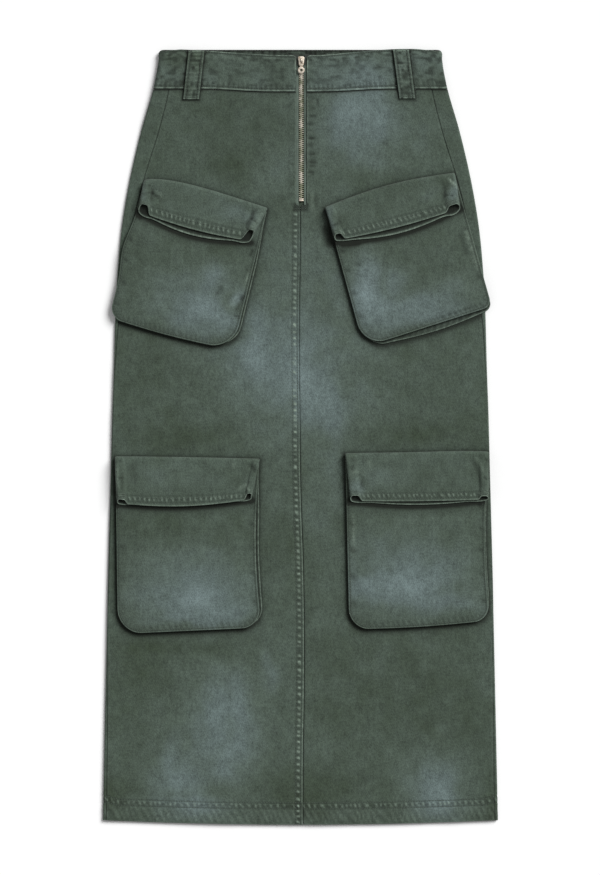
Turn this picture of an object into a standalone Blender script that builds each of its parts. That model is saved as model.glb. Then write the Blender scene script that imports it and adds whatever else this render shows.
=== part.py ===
"""Cargo utility skirt, laid flat on its back: construction model.

Metres, +Z up. The surface it lies on is z = 0, +Y runs towards the waist and +X to the viewer's right.
The origin is the centre of the footprint. Every cloth piece is an open grid with Solidify.
"""

import math
from typing import NamedTuple

import bmesh
import bpy
import numpy as np
from mathutils import Matrix

MM = 0.001

# Driving dimensions -------------------------------------------------------------------------------
LENGTH = 0.9694  # waist edge to hem, at the centre front
CLOTH = 1.2 * MM  # wall of one layer of twill with its seam allowances
BAND = 2.2 * MM  # the waistband is doubled
SEAM = 0.3 * MM  # gap between pieces that are sewn together
BAND_DEPTH_SIDE = 47.5 * MM  # waist edge to the band's lower seam, at the side folds and behind
BAND_DEPTH_CENTRE = 52.5 * MM  # the same, beside the zip
BAND_SEAM_REACH = 170.0 * MM  # sideways from the zip to where the seam runs straight
HEM_RISE = 5.6 * MM  # the hem's corners lie this much higher than its middle

# Heights of the cloth's middle surface
BACK_LEVEL = 0.6 * MM
BACK_AT_BAND = 2.2 * MM  # the back lies over the belt loops here
BAND_BACK_LEVEL = 2.7 * MM
BACK_FALL = (0.066, 0.120)  # distances below the waist edge between which it comes down
FRONT_LEVEL = 4.0 * MM
FRONT_BAND_RISE = 2.5 * MM
FRONT_FALL = (0.050, 0.130)
FRONT_ZIP_RISE = 1.5 * MM
ZIP_RISE_FALL = (0.050, 0.150)
ZIP_RISE_REACH = (0.015, 0.100)  # sideways from the zip
PANEL_DROPS = (0.060, 0.075, 0.095, 0.120, 0.1625, 0.2225, 0.2825, 0.400, 0.500, 0.6125, 0.740, 0.860)
TOP_DROP = BAND_DEPTH_SIDE + 1.5 * SEAM

# Zip
ZIP_X = 1.0 * MM  # middle of the chain
OPENING = (-5.6 * MM, 8.1 * MM)  # the cloth's edges beside the zip
CENTRE_SEAM_X = (1.6 * MM, 6.6 * MM)  # the lapped edge of the centre seam, near the zip and at the hem
CENTRE_SEAM_TURN = (0.450, 0.950)  # distances below the waist edge between which it drifts
OPENING_END = 202.0 * MM
OPENING_JOG = 3.0 * MM  # the edges close to the centre seam over this length
TAPE = 0.8 * MM
TAPE_WIDTH = 13.0 * MM
TAPE_BELOW = 1.8 * MM  # tape's middle below the front's middle surface
CHAIN_WIDTH = 6.0 * MM
CHAIN_THICK = 2.2 * MM
CHAIN_BELOW = 1.35 * MM
CHAIN_IN_SLIDER = 4.0 * MM
CHAIN_END = 186.3 * MM
ZIP_DROPS = (0.030, 0.048, *PANEL_DROPS[:5])
TAPE_START = 7.0 * MM
TAPE_PAST_OPENING = 2.0 * MM
STOP_RISE = 0.2 * MM  # of the bottom stop over the chain
STOP_SIZE = (CHAIN_WIDTH, 3.4 * MM, 2.4 * MM)
STOP_BEVEL = 0.4 * MM
SLIDER_TOP = 9.5 * MM  # distance below the waist edge
SLIDER_SIZE = (8.0 * MM, 10.4 * MM)
PLATE = 0.9 * MM
TOP_BEVEL = 0.35 * MM
BASE_BEVEL = 0.25 * MM
DIVIDER = (2.4 * MM, 3.2 * MM)  # the wedge between the slider's plates
FLANGE = 0.6 * MM
FLANGE_INSET = 0.4 * MM  # from the plate's edge to the flange's middle
EDGE_INSET = 0.5 * MM
BAIL_WIRE = 0.6 * MM  # radius
BAIL_REACH = 2.7 * MM  # half of the bail's length along the zip
PULL_LENGTH = 16.5 * MM
PULL_THICK = 1.0 * MM
PULL_BAR = 0.55 * MM  # radius of the bar that turns under the bail
PULL_RING = 4.2 * MM
PULL_HOLE = 1.8 * MM

# Waistband and belt loops
FRONT_DIP = 8.4 * MM  # the front waist edge lies this much lower beside the zip
DIP_START = 0.008  # the edge is level this far beside the centre
DIP_REACH = (0.178, 0.130)  # where the dip ends, left and right of the centre
BAND_CORNER = 4.0 * MM
BAND_ROWS = (0.0, 0.075, 0.5, 1.0)  # shares of the band's depth
BAND_ROUND = 0.8 * MM  # the waist edge is this much lower round the side folds
LOOP_WIDTH = 20.0 * MM


class Section(NamedTuple):
    """The flat outline at one distance below the waist edge."""

    drop: float
    half_width: float


SECTIONS = (
    Section(0.0000, 0.1725),
    Section(0.0035, 0.1760),
    Section(0.0125, 0.1771),
    Section(0.0475, 0.1834),
    Section(0.1025, 0.1991),
    Section(0.1625, 0.2131),
    Section(0.2225, 0.2233),
    Section(0.2825, 0.2290),
    Section(0.4000, 0.2333),
    Section(0.6125, 0.2392),
    Section(0.9694, 0.2472),
)


class SideSeam(NamedTuple):
    """How far the back comes round the side fold on to the front."""

    drop: float
    round_front: float


SIDE_SEAM = (
    SideSeam(0.050, 0.0205),
    SideSeam(0.100, 0.0225),
    SideSeam(0.165, 0.0175),
    SideSeam(0.230, 0.0130),
    SideSeam(0.320, 0.0060),
    SideSeam(0.970, 0.0045),
)


class Loop(NamedTuple):
    """A belt loop: its ends, across and down from the waist edge, in millimetres."""

    name: str
    top_x: float
    top_drop: float
    end_x: float
    end_drop: float
    front: bool


LOOPS = (
    Loop("belt_loop_front_left", -129.7, 2.6, -136.6, 63.1, True),
    Loop("belt_loop_front_right", 125.4, 1.3, 133.5, 62.1, True),
    Loop("belt_loop_back_left", -118.0, 1.0, -122.0, 62.0, False),
    Loop("belt_loop_back_centre", 0.0, 1.0, 0.0, 62.0, False),
    Loop("belt_loop_back_right", 118.0, 1.0, 122.0, 62.0, False),
)


class Bow(NamedTuple):
    """How far a front loop stands off the band, in millimetres, along it from the top."""

    along: float
    lift: float


LOOP_BOWS = (
    Bow(0.00, 0.0),
    Bow(0.20, 0.7),
    Bow(0.45, 1.0),
    Bow(0.68, 0.5),
    Bow(0.80, -0.1),
    Bow(1.00, -0.5),
)


class Pocket(NamedTuple):
    """A bellows pocket with its mouth turned over to the front; places are X, Y in millimetres."""

    name: str
    fold: tuple  # left and right end of the top fold
    base: tuple  # left and right bottom corner, before they are rounded
    mouth: tuple  # left and right end of the turned-over mouth
    fold_rise: float  # how far the fold bows up
    fold_peak: float  # where it bows most, 0 left to 1 right
    base_sag: float  # how far the bottom edge bows down
    side_bow: tuple  # how far each side bows in, or out where it is minus
    corner: tuple  # radius of each bottom corner
    hem_sag: float  # how far the mouth's upper lip bows down
    lip_sag: float  # and its lower lip
    lobe_back: tuple  # how far the mouth's upper edge lies back at each end
    lobe_width: tuple  # width of the raised loop at each end
    foot: tuple  # gusset's foot out from the front's edge: left, bottom, right


POCKETS = (
    Pocket(
        "pocket_upper_left", ((-195, 320), (-41, 286)), ((-239, 149), (-84, 109)),
        ((-202, 281), (-63, 244)), 8.0, 0.32, 3.0, (-3.5, 0), (17, 31), 4.0, 11.0,
        (10, 14), (14, 11), (-11, -3, 3),
    ),
    Pocket(
        "pocket_upper_right", ((31, 287), (192, 330)), ((79, 112), (239, 163)),
        ((44, 245), (199, 285)), 6.5, 0.50, 0.0, (0, 0), (30, 11), 3.5, 11.0,
        (7.5, 6.6), (11, 17), (-3, 8, -13),
    ),
    Pocket(
        "pocket_lower_left", ((-231, -24), (-51, -27)), ((-228, -246), (-49, -238)),
        ((-228, -83), (-62, -78)), 0.5, 0.50, 0.0, (0, 6), (31, 25), 6.0, 4.5,
        (5.4, 8), (12, 8), (-3, -3, 4),
    ),
    Pocket(
        "pocket_lower_right", ((56, -20), (234, -18)), ((61, -240), (236, -229)),
        ((63, -80), (234, -78)), 1.0, 0.80, 2.5, (0, 5), (25, 19), 1.2, 5.7,
        (7, 4.4), (13, 11), (-3, -3, 2),
    ),
)

FRONT_COLUMNS = 7

POCKET_DEPTH = 3.6 * MM  # from the skirt to the pocket's front
SLEEVE_GAP = 2.1 * MM  # between the middles of the sleeve's two layers

# Heights of the cloth's middle surface in a pocket
PANEL_TOP = FRONT_LEVEL + CLOTH / 2
FOOT_Z = PANEL_TOP + SEAM + CLOTH / 2
POCKET_FRONT_Z = PANEL_TOP + POCKET_DEPTH + CLOTH / 2
GUSSET_TOP_Z = POCKET_FRONT_Z - CLOTH - SEAM
LOWER_LAYER_Z = POCKET_FRONT_Z + CLOTH + SEAM
UPPER_LAYER_Z = LOWER_LAYER_Z + SLEEVE_GAP
LOBE_RISE = 2.8 * MM
ROLL = (UPPER_LAYER_Z - FOOT_Z) / 2  # radius of the upper layer round the top fold
JOINT_DEPTH = ROLL + CLOTH / 2  # the roll's centre lies this far below the fold's edge
FRONT_START = JOINT_DEPTH + 1.0 * MM
GUSSET_TUCK = 1.0 * MM  # the gusset's top edge lies this far under the front's edge

TWILL = ("twill", (0.075, 0.098, 0.082), 0.92, 0.0)
TAPE_CLOTH = ("zip tape", (0.060, 0.085, 0.066), 0.90, 0.0)
METAL = ("zip metal", (0.62, 0.47, 0.40), 0.30, 1.0)


# Scene and materials ------------------------------------------------------------------------------
def clear_scene():
    for obj in list(bpy.data.objects):
        bpy.data.objects.remove(obj, do_unlink=True)


def new_collection(name):
    collection = bpy.data.collections.new(name)
    bpy.context.scene.collection.children.link(collection)
    return collection


def material(kind):
    """The material of one kind, made once and shared by what is cut from the same stuff."""
    name, colour, roughness, metallic = kind
    made = bpy.data.materials.get(name)
    if made is None:
        made = bpy.data.materials.new(name)
        made.use_nodes = True
        shader = made.node_tree.nodes["Principled BSDF"]
        shader.inputs["Base Color"].default_value = (*colour, 1.0)
        shader.inputs["Roughness"].default_value = roughness
        shader.inputs["Metallic"].default_value = metallic
    return made


def link(collection, name, mesh, kind):
    """A new object in the collection, with its mesh named and finished."""
    mesh.name = name
    mesh.materials.append(material(kind))
    obj = bpy.data.objects.new(name, mesh)
    collection.objects.link(obj)
    return obj


# Arithmetic ---------------------------------------------------------------------------------------
def smooth(value, start, end):
    """0 before start, 1 after end, and an even S between them."""
    share = min(max((value - start) / (end - start), 0.0), 1.0)
    return share * share * (3 - 2 * share)


def mix(a, b, share):
    return a + (b - a) * share


def half_width(drop):
    return float(np.interp(drop, [s.drop for s in SECTIONS], [s.half_width for s in SECTIONS]))


def round_front(drop):
    return float(np.interp(drop, [s.drop for s in SIDE_SEAM], [s.round_front for s in SIDE_SEAM]))


def y_at(drop):
    return LENGTH / 2 - drop


# The tube: two flat layers joined by a tight fold at each side ------------------------------------
def front_height(x, drop):
    """Middle surface of the front. It rises over the back waistband, and again round the zip."""
    at_band = 1 - smooth(drop, *FRONT_FALL)
    at_zip = (1 - smooth(abs(x - ZIP_X), *ZIP_RISE_REACH)) * (1 - smooth(drop, *ZIP_RISE_FALL))
    return FRONT_LEVEL + FRONT_BAND_RISE * at_band + FRONT_ZIP_RISE * at_zip


def back_height(drop):
    """Middle surface of the back: flat on the surface, lifted over the belt loops at the top."""
    if drop <= BAND_DEPTH_SIDE:
        return BAND_BACK_LEVEL
    return mix(BACK_AT_BAND, BACK_LEVEL, smooth(drop, *BACK_FALL))


def fold_radius(drop):
    return (front_height(half_width(drop), drop) - back_height(drop)) / 2


def round_side(side, along, drop, wall=CLOTH):
    """A point of the tube, `along` metres of cloth from the side fold: + on the front, - behind."""
    radius = fold_radius(drop)
    centre = half_width(drop) - wall / 2 - radius
    quarter = radius * math.pi / 2
    if abs(along) <= quarter:
        angle = along / radius
        x = centre + radius * math.cos(angle)
        z = back_height(drop) + radius * (1 + math.sin(angle))
    else:
        x = centre - (abs(along) - quarter)
        z = front_height(side * x, drop) if along > 0 else back_height(drop)
    return side * x, y_at(drop), z


def fold_columns(drop, count=5):
    """Lengths of cloth round a side fold, from its front end to its back end."""
    quarter = fold_radius(drop) * math.pi / 2
    return [mix(quarter, -quarter, i / (count - 1)) for i in range(count)]


def band_seam(x):
    """The front waist seam: lower beside the zip than at the sides."""
    return mix(BAND_DEPTH_CENTRE, BAND_DEPTH_SIDE, smooth(abs(x), 0.0, BAND_SEAM_REACH))


def hem(x):
    share = min(abs(x) / SECTIONS[-1].half_width, 1.0)
    return LENGTH - HEM_RISE * share**2


def sheet(collection, name, rows, thickness, kind, ring=False):
    """A wall through rows of points. With ring, each row closes on itself and makes a sleeve."""
    grid = np.array(rows, dtype=float)
    count, across = grid.shape[:2]
    mesh = bpy.data.meshes.new(name)
    shape = bmesh.new()
    verts = [[shape.verts.new(point) for point in row] for row in grid]
    for i in range(count - 1):
        for j in range(across if ring else across - 1):
            k = (j + 1) % across
            shape.faces.new((verts[i][j], verts[i + 1][j], verts[i + 1][k], verts[i][k]))
    shape.to_mesh(mesh)
    shape.free()
    obj = link(collection, name, mesh, kind)
    wall = obj.modifiers.new("wall", "SOLIDIFY")
    wall.thickness = thickness
    wall.offset = 0.0
    wall.use_even_offset = not ring
    mesh.shade_smooth()
    mesh.set_sharp_from_angle(angle=math.radians(40))
    return obj


# Skirt panels -------------------------------------------------------------------------------------
def front_panel(collection, side):
    """A front panel: from the zip opening and the centre seam to the side seam."""
    columns = 8
    opening = OPENING[0] if side < 0 else OPENING[1]
    jog = (OPENING_END, OPENING_END + OPENING_JOG)
    drops = (TOP_DROP, *sorted((*PANEL_DROPS, *jog)), hem(half_width(LENGTH)))

    def x_at(share, drop):
        seam = mix(*CENTRE_SEAM_X, smooth(drop, *CENTRE_SEAM_TURN))
        inner = mix(opening, seam + side * SEAM / 2, smooth(drop, *jog))
        outer = round_side(side, round_front(drop) + SEAM / 2, drop)[0]
        return mix(inner, outer, share)

    rows = []
    for drop in drops:
        across = [x_at(j / (columns - 1), drop) for j in range(columns)]
        if drop == drops[0]:
            downs = [band_seam(x) + TOP_DROP - BAND_DEPTH_SIDE for x in across]
        elif drop == drops[-1]:
            downs = [hem(x) for x in across]
        else:
            downs = [drop] * columns
        rows.append([(x, y_at(d), front_height(x, d)) for x, d in zip(across, downs)])
    name = "front_left" if side < 0 else "front_right"
    return sheet(collection, name, rows, CLOTH, TWILL)


def back_panel(collection):
    """The back: flat, with both edges brought round the side folds to the side seams."""
    across = 9

    def row(drop):
        arcs = [round_front(drop) - SEAM / 2, *fold_columns(drop)]
        left = [round_side(-1, along, drop) for along in arcs]
        right = [round_side(1, along, drop) for along in reversed(arcs)]
        middle = [
            (mix(left[-1][0], right[0][0], j / across), y_at(drop), back_height(drop))
            for j in range(1, across)
        ]
        return left + middle + right

    drops = (TOP_DROP, *PANEL_DROPS, hem(half_width(LENGTH)))
    return sheet(collection, "back", [row(drop) for drop in drops], CLOTH, TWILL)


def band_top(x):
    """The front waist edge. It dips to the zip, further along on the viewer's left."""
    reach = DIP_REACH[0] if x < 0 else DIP_REACH[1]
    return FRONT_DIP * (1 - smooth(abs(x), DIP_START, reach))


def waistband(collection):
    """One doubled strip from the zip round both side folds and back to the zip."""
    corner_insets = (0.0, 0.3 * BAND_CORNER, BAND_CORNER)
    straight, behind = 5, 8

    def front_half(side, share):
        opening = OPENING[0] if side < 0 else OPENING[1]
        points = []
        for inset in corner_insets:
            x = opening + side * inset
            rounding = BAND_CORNER - math.sqrt(BAND_CORNER**2 - (BAND_CORNER - inset) ** 2)
            points.append((x, mix(band_top(x) + rounding, band_seam(x), share)))
        guess = max(share * BAND_DEPTH_SIDE, BAND_ROUND)
        start = points[-1][0]
        end = round_side(side, fold_columns(guess)[0], guess, BAND)[0]
        for j in range(1, straight):
            x = mix(start, end, j / straight)
            points.append((x, mix(band_top(x), band_seam(x), share)))
        placed = [(x, y_at(drop), front_height(x, drop)) for x, drop in points]
        return placed + [
            round_side(side, along, guess, BAND) for along in fold_columns(guess)
        ]

    rows = []
    for share in BAND_ROWS:
        left = front_half(-1, share)
        right = front_half(1, share)[::-1]
        y = y_at(share * BAND_DEPTH_SIDE)
        middle = [
            (mix(left[-1][0], right[0][0], j / behind), y, BAND_BACK_LEVEL) for j in range(1, behind)
        ]
        rows.append(left + middle + right)
    return sheet(collection, "waistband", rows, BAND, TWILL)


def belt_loop(collection, loop):
    """A loop over the waistband, sewn at its top edge and to the panel below the band's seam."""
    rows = []
    for bow in LOOP_BOWS:
        x = mix(loop.top_x, loop.end_x, bow.along) * MM
        drop = mix(loop.top_drop, loop.end_drop, bow.along) * MM
        if loop.front:
            z = front_height(x, drop) + BAND / 2 + SEAM + CLOTH / 2 + bow.lift * MM
        else:
            z = CLOTH / 2
        rows.append([(x + edge * LOOP_WIDTH / 2, y_at(drop), z) for edge in (-1, 0, 1)])
    return sheet(collection, loop.name, rows, CLOTH, TWILL)


# Zip ----------------------------------------------------------------------------------------------
def strip_under_front(collection, name, edges, drops, below, thickness, kind):
    """A strip that keeps one distance below the front's middle surface."""
    rows = [[(x, y_at(drop), front_height(x, drop) - below) for x in edges] for drop in drops]
    return sheet(collection, name, rows, thickness, kind)


def box_mesh(name, centre, size, bevel=0.0):
    mesh = bpy.data.meshes.new(name)
    shape = bmesh.new()
    bmesh.ops.create_cube(shape, size=1.0, matrix=Matrix.Translation(centre) @ Matrix.Diagonal((*size, 1)))
    if bevel:
        edges = list(shape.edges)
        bmesh.ops.bevel(shape, geom=edges, offset=bevel, segments=1, affect="EDGES", profile=0.5)
    shape.to_mesh(mesh)
    shape.free()
    return mesh


def helper(cutters, name, mesh):
    """A hidden solid that a Boolean uses."""
    obj = bpy.data.objects.new(name, mesh)
    cutters.objects.link(obj)
    obj.hide_render = True
    obj.display_type = "WIRE"
    return obj


def join(target, other, operation="UNION"):
    joined = target.modifiers.new(other.name, "BOOLEAN")
    joined.operation = operation
    joined.solver = "EXACT"
    joined.object = other


def mesh_of(obj):
    """A curve's shape as a mesh, with its caps welded; the curve is removed."""
    graph = bpy.context.evaluated_depsgraph_get()
    mesh = bpy.data.meshes.new_from_object(obj.evaluated_get(graph))
    mesh.transform(obj.matrix_world)
    bpy.data.objects.remove(obj, do_unlink=True)
    shape = bmesh.new()
    shape.from_mesh(mesh)
    bmesh.ops.remove_doubles(shape, verts=shape.verts, dist=1e-6)
    shape.to_mesh(mesh)
    shape.free()
    return mesh


def zip_parts(collection):
    inner = CHAIN_WIDTH / 2 + SEAM
    tape_drops = (TAPE_START, *ZIP_DROPS, OPENING_END + TAPE_PAST_OPENING)
    for side, name in ((-1, "zip_tape_left"), (1, "zip_tape_right")):
        edges = sorted(ZIP_X + side * reach for reach in (inner, inner + TAPE_WIDTH))
        strip_under_front(collection, name, edges, tape_drops, TAPE_BELOW, TAPE, TAPE_CLOTH)
    edges = (ZIP_X - CHAIN_WIDTH / 2, ZIP_X + CHAIN_WIDTH / 2)
    chain_drops = (SLIDER_TOP + SLIDER_SIZE[1] - CHAIN_IN_SLIDER, *ZIP_DROPS, CHAIN_END)
    strip_under_front(collection, "zip_chain", edges, chain_drops, CHAIN_BELOW, CHAIN_THICK, METAL)
    drop = CHAIN_END + SEAM + STOP_SIZE[1] / 2
    centre = (ZIP_X, y_at(drop), front_height(ZIP_X, drop) - CHAIN_BELOW + STOP_RISE)
    link(collection, "zip_bottom_stop", box_mesh("zip_bottom_stop", centre, STOP_SIZE, STOP_BEVEL), METAL)


def slider_levels():
    """Under side and top of the slider's two plates, and the height of the pull's pivot."""
    chain = front_height(ZIP_X, SLIDER_TOP) - CHAIN_BELOW
    cavity = (chain - CHAIN_THICK / 2 - SEAM, chain + CHAIN_THICK / 2 + SEAM)
    pivot = cavity[1] + PLATE + SEAM + PULL_BAR
    return cavity[0] - PLATE, cavity[0], cavity[1], cavity[1] + PLATE, pivot


def bail_mesh(pivot_y, plate_top, pivot_z):
    """The arch over the top plate that holds the pull's bar."""
    height = pivot_z + PULL_BAR + SEAM + BAIL_WIRE - plate_top
    path = bpy.data.curves.new("bail", "CURVE")
    path.dimensions = "3D"
    path.bevel_depth = BAIL_WIRE
    path.bevel_resolution = 2
    path.use_fill_caps = True
    spline = path.splines.new("POLY")
    steps = 10
    spline.points.add(steps)
    for i, point in enumerate(spline.points):
        angle = math.pi * i / steps
        lift = math.sin(angle) ** 0.6 * (height + SEAM) - SEAM
        point.co = (ZIP_X, pivot_y - BAIL_REACH * math.cos(angle), plate_top + lift, 1)
    obj = bpy.data.objects.new("bail", path)
    bpy.context.scene.collection.objects.link(obj)
    bpy.context.view_layer.update()
    return mesh_of(obj)


def slider(collection, cutters, pivot_y):
    """Two plates joined by the divider at the top end, flanges down to the tapes, and the bail."""
    bottom, floor, roof, top, pivot_z = slider_levels()
    width, length = SLIDER_SIZE
    y = y_at(SLIDER_TOP + length / 2)
    plate = box_mesh("zip_slider", (ZIP_X, y, (roof + top) / 2), (width, length, PLATE), TOP_BEVEL)
    body = link(collection, "zip_slider", plate, METAL)
    base = box_mesh("base", (ZIP_X, y, (bottom + floor) / 2), (width, length, PLATE), BASE_BEVEL)
    join(body, helper(cutters, "slider base", base))
    post_y = y_at(SLIDER_TOP) - DIVIDER[1] / 2 - EDGE_INSET
    post_size = (*DIVIDER, top - bottom - PLATE)
    post = box_mesh("post", (ZIP_X, post_y, (floor + roof) / 2), post_size)
    join(body, helper(cutters, "slider divider", post))
    low = front_height(ZIP_X, SLIDER_TOP) - TAPE_BELOW + TAPE / 2 + SEAM
    high = roof + PLATE / 2
    for side in (-1, 1):
        x = ZIP_X + side * (width / 2 - FLANGE_INSET)
        flange_size = (FLANGE, length - 2 * EDGE_INSET, high - low)
        flange = box_mesh("flange", (x, y, (low + high) / 2), flange_size)
        join(body, helper(cutters, f"slider flange {side}", flange))
    join(body, helper(cutters, "slider bail", bail_mesh(pivot_y, top, pivot_z)))


def arc_points(centre, radius, start, end, count):
    angles = [math.radians(mix(start, end, i / (count - 1))) for i in range(count)]
    return [(centre[0] + radius * math.cos(a), centre[1] + radius * math.sin(a)) for a in angles]


def pull_tab(collection, pivot_y):
    """A flat pull that hangs from its bar: a slotted head, a narrow neck and a round ring."""
    head, neck, slot_end = 2.9 * MM, 1.5 * MM, -4.7 * MM
    ring = (0.0, -(PULL_LENGTH - PULL_RING))
    neck_top = -7.4 * MM
    side = [(head, 0.3 * MM), (head, slot_end - 0.6 * MM), (neck, neck_top)]
    outline = side + arc_points(ring, PULL_RING, 70, -250, 20) + [(-x, y) for x, y in reversed(side)]
    slot_half = 1.35 * MM
    slot = [(-slot_half, -PULL_BAR), (slot_half, -PULL_BAR), (slot_half, slot_end), (-slot_half, slot_end)]
    hole = arc_points(ring, PULL_HOLE, 0, 337.5, 16)
    shape = bpy.data.curves.new("zip_pull_tab", "CURVE")
    shape.dimensions = "2D"
    shape.fill_mode = "BOTH"
    shape.extrude = PULL_THICK / 2
    for points in (outline, slot, hole):
        spline = shape.splines.new("POLY")
        spline.points.add(len(points) - 1)
        spline.use_cyclic_u = True
        for point, (x, y) in zip(spline.points, points):
            point.co = (x, y, 0, 1)
    flat = bpy.data.objects.new("pull outline", shape)
    bpy.context.scene.collection.objects.link(flat)
    bpy.context.view_layer.update()
    tab = link(collection, "zip_pull_tab", mesh_of(flat), METAL)
    tab.location = (ZIP_X, pivot_y, slider_levels()[-1])
    return tab


# Pockets ------------------------------------------------------------------------------------------
def place(pair):
    return [np.array(point, dtype=float) * MM for point in pair]


def down_of(pocket):
    """Unit vector across the fold, towards the pocket's bottom."""
    left, right = place(pocket.fold)
    along = (right - left) / np.linalg.norm(right - left)
    return np.array((along[1], -along[0]))


def fold_bow(pocket, share):
    power = math.log(0.5) / math.log(pocket.fold_peak)
    return pocket.fold_rise * MM * math.sin(math.pi * min(max(share, 0.0), 1.0) ** power)


def pocket_height(pocket):
    fold, base = place(pocket.fold), place(pocket.base)
    return float(np.linalg.norm(sum(base) - sum(fold)) / 2)


def front_rows(pocket):
    """The pocket front's outline as rows of X, Y, from just under the fold to the bottom."""
    fold, base = place(pocket.fold), place(pocket.base)
    down, height = down_of(pocket), pocket_height(pocket)
    widest = max(pocket.corner) * MM
    above = [mix(FRONT_START, height - widest, share) for share in (0, 0.25, 0.5, 0.75)]
    rounded = [height - widest * (1 - math.sin(math.radians(a))) for a in (0, 25, 50, 70, 90)]
    rows = []
    for depth in above + rounded:
        v = depth / height
        from_base = height - depth
        insets = []
        for radius, bow in zip(pocket.corner, pocket.side_bow):
            curve = max(radius * MM - from_base, 0.0)
            rounding = radius * MM - math.sqrt(max((radius * MM) ** 2 - curve**2, 0.0))
            insets.append(rounding + bow * MM * math.sin(math.pi * v))
        left, right = mix(fold[0], base[0], v), mix(fold[1], base[1], v)
        width = np.linalg.norm(right - left)
        row = []
        for j in range(FRONT_COLUMNS):
            u = mix(insets[0] / width, 1 - insets[1] / width, j / (FRONT_COLUMNS - 1))
            bow = pocket.base_sag * MM * math.sin(math.pi * u) * v - fold_bow(pocket, u) * (1 - v)
            row.append(mix(left, right, u) + down * bow)
        rows.append(row)
    return rows


def pocket_front(collection, pocket):
    rows = [[(*point, POCKET_FRONT_Z) for point in row] for row in front_rows(pocket)]
    return sheet(collection, f"{pocket.name}_front", rows, CLOTH, TWILL)


def pocket_gusset(collection, pocket):
    """A strip round the sides and bottom, from under the front's edge down to the skirt."""
    rows = front_rows(pocket)
    left = [row[0] for row in rows]
    right = [row[-1] for row in reversed(rows)]
    edge = left + rows[-1][1:-1] + right
    foot_left, foot_bottom, foot_right = (value * MM for value in pocket.foot)
    sides = len(rows)
    below = len(edge) - 2 * sides
    at_corner = 0.5 * foot_bottom
    strip = []
    for i, point in enumerate(edge):
        ahead, behind = edge[min(i + 1, len(edge) - 1)], edge[max(i - 1, 0)]
        along = (ahead - behind) / np.linalg.norm(ahead - behind)
        out = np.array((along[1], -along[0]))
        from_top = min(i, len(edge) - 1 - i)
        if from_top < sides:
            beside = (foot_left if i < sides else foot_right) * smooth(from_top, 0, 3)
            foot = mix(beside, at_corner, smooth(from_top, sides - 5, sides - 1))
        else:
            foot = mix(at_corner, foot_bottom, math.sin(math.pi * (i - sides + 1) / (below + 1)))
        strip.append([(*(point - out * GUSSET_TUCK), GUSSET_TOP_Z), (*(point + out * foot), FOOT_Z)])
    return sheet(collection, f"{pocket.name}_gusset", strip, CLOTH, TWILL)


class Station(NamedTuple):
    """One corner of the sleeve's section near an end."""

    inset: float  # from the end, in widths of the loop there
    layer: float  # 0 is the lower layer, 1 the upper
    lobe: float  # share of the loop's rise


END_STATIONS = (
    Station(1.20, 0.0, 0.00),
    Station(0.22, 0.0, 0.00),
    Station(0.04, 0.3, 0.15),
    Station(0.00, 0.8, 0.50),
    Station(0.16, 1.0, 0.85),
    Station(0.45, 1.0, 1.00),
    Station(0.80, 1.0, 0.70),
    Station(1.15, 1.0, 0.12),
    Station(1.60, 1.0, 0.00),
)


class Turn(NamedTuple):
    """One row of the sleeve: along from the fold's joint (0) to the mouth (1), or round the fold."""

    along: float
    roll: float  # angle of the upper layer round the fold; 90 is the flat part above the pocket
    lower_back: float  # how far the lower layer lies past the joint, in millimetres
    lobe: float  # share of the end loops' rise


TURNS = (
    Turn(1.00, 90, 0.0, 1.00),
    Turn(0.72, 90, 0.0, 0.85),
    Turn(0.38, 90, 0.0, 0.60),
    Turn(0.00, 90, 3.0, 0.35),
    Turn(0.00, 45, 2.0, 0.15),
    Turn(0.00, 0, 1.0, 0.00),
    Turn(0.00, -45, 0.3, 0.00),
    Turn(0.00, -90, -0.7, 0.00),
)


def sleeve_point(pocket, turn, share, layer, lobe, lobe_back):
    """A point of the turned-over sleeve, between its lower and its upper layer."""
    fold, mouth = place(pocket.fold), place(pocket.mouth)
    down = down_of(pocket)
    start, end = mix(*fold, share), mix(*mouth, share)
    reach = float(np.dot(end - start, down))
    angle = math.radians(turn.roll)
    upper_depth = mix(JOINT_DEPTH - ROLL * math.cos(angle), reach, turn.along)
    lower_depth = mix(JOINT_DEPTH + turn.lower_back * MM, reach, turn.along)
    upper_z = (UPPER_LAYER_Z + FOOT_Z) / 2 + ROLL * math.sin(angle)
    bow = math.sin(math.pi * share)
    at_mouth = turn.along**3
    upper_depth += (pocket.hem_sag * MM * bow - lobe_back * lobe) * at_mouth
    lower_depth += pocket.lip_sag * MM * bow * at_mouth
    depth = mix(lower_depth, upper_depth, layer)
    z = mix(LOWER_LAYER_Z, upper_z, layer) + LOBE_RISE * lobe * turn.lobe
    v = depth / reach
    plan = start + (end - start) * v - down * fold_bow(pocket, share) * (1 - min(v, 1.0))
    return (*plan, z)


def pocket_turnover(collection, pocket):
    """The pocket's mouth, a flattened sleeve turned over to the front, with a loop at each end."""
    fold = place(pocket.fold)
    width = float(np.linalg.norm(fold[1] - fold[0]))
    ends = [w * MM / width for w in pocket.lobe_width]
    lobe_back = [back * MM for back in pocket.lobe_back]
    inner = (0.35, 0.5, 0.65)
    rows = []
    for turn in TURNS:
        ring = [sleeve_point(pocket, turn, s.inset * ends[0], s.layer, s.lobe, lobe_back[0])
                for s in END_STATIONS]
        ring += [sleeve_point(pocket, turn, share, 1.0, 0.0, 0.0) for share in inner]
        ring += [sleeve_point(pocket, turn, 1 - s.inset * ends[1], s.layer, s.lobe, lobe_back[1])
                 for s in reversed(END_STATIONS)]
        ring += [sleeve_point(pocket, turn, share, 0.0, 0.0, 0.0) for share in reversed(inner)]
        rows.append(ring)
    return sheet(collection, f"{pocket.name}_turnover", rows, CLOTH, TWILL, ring=True)


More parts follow.
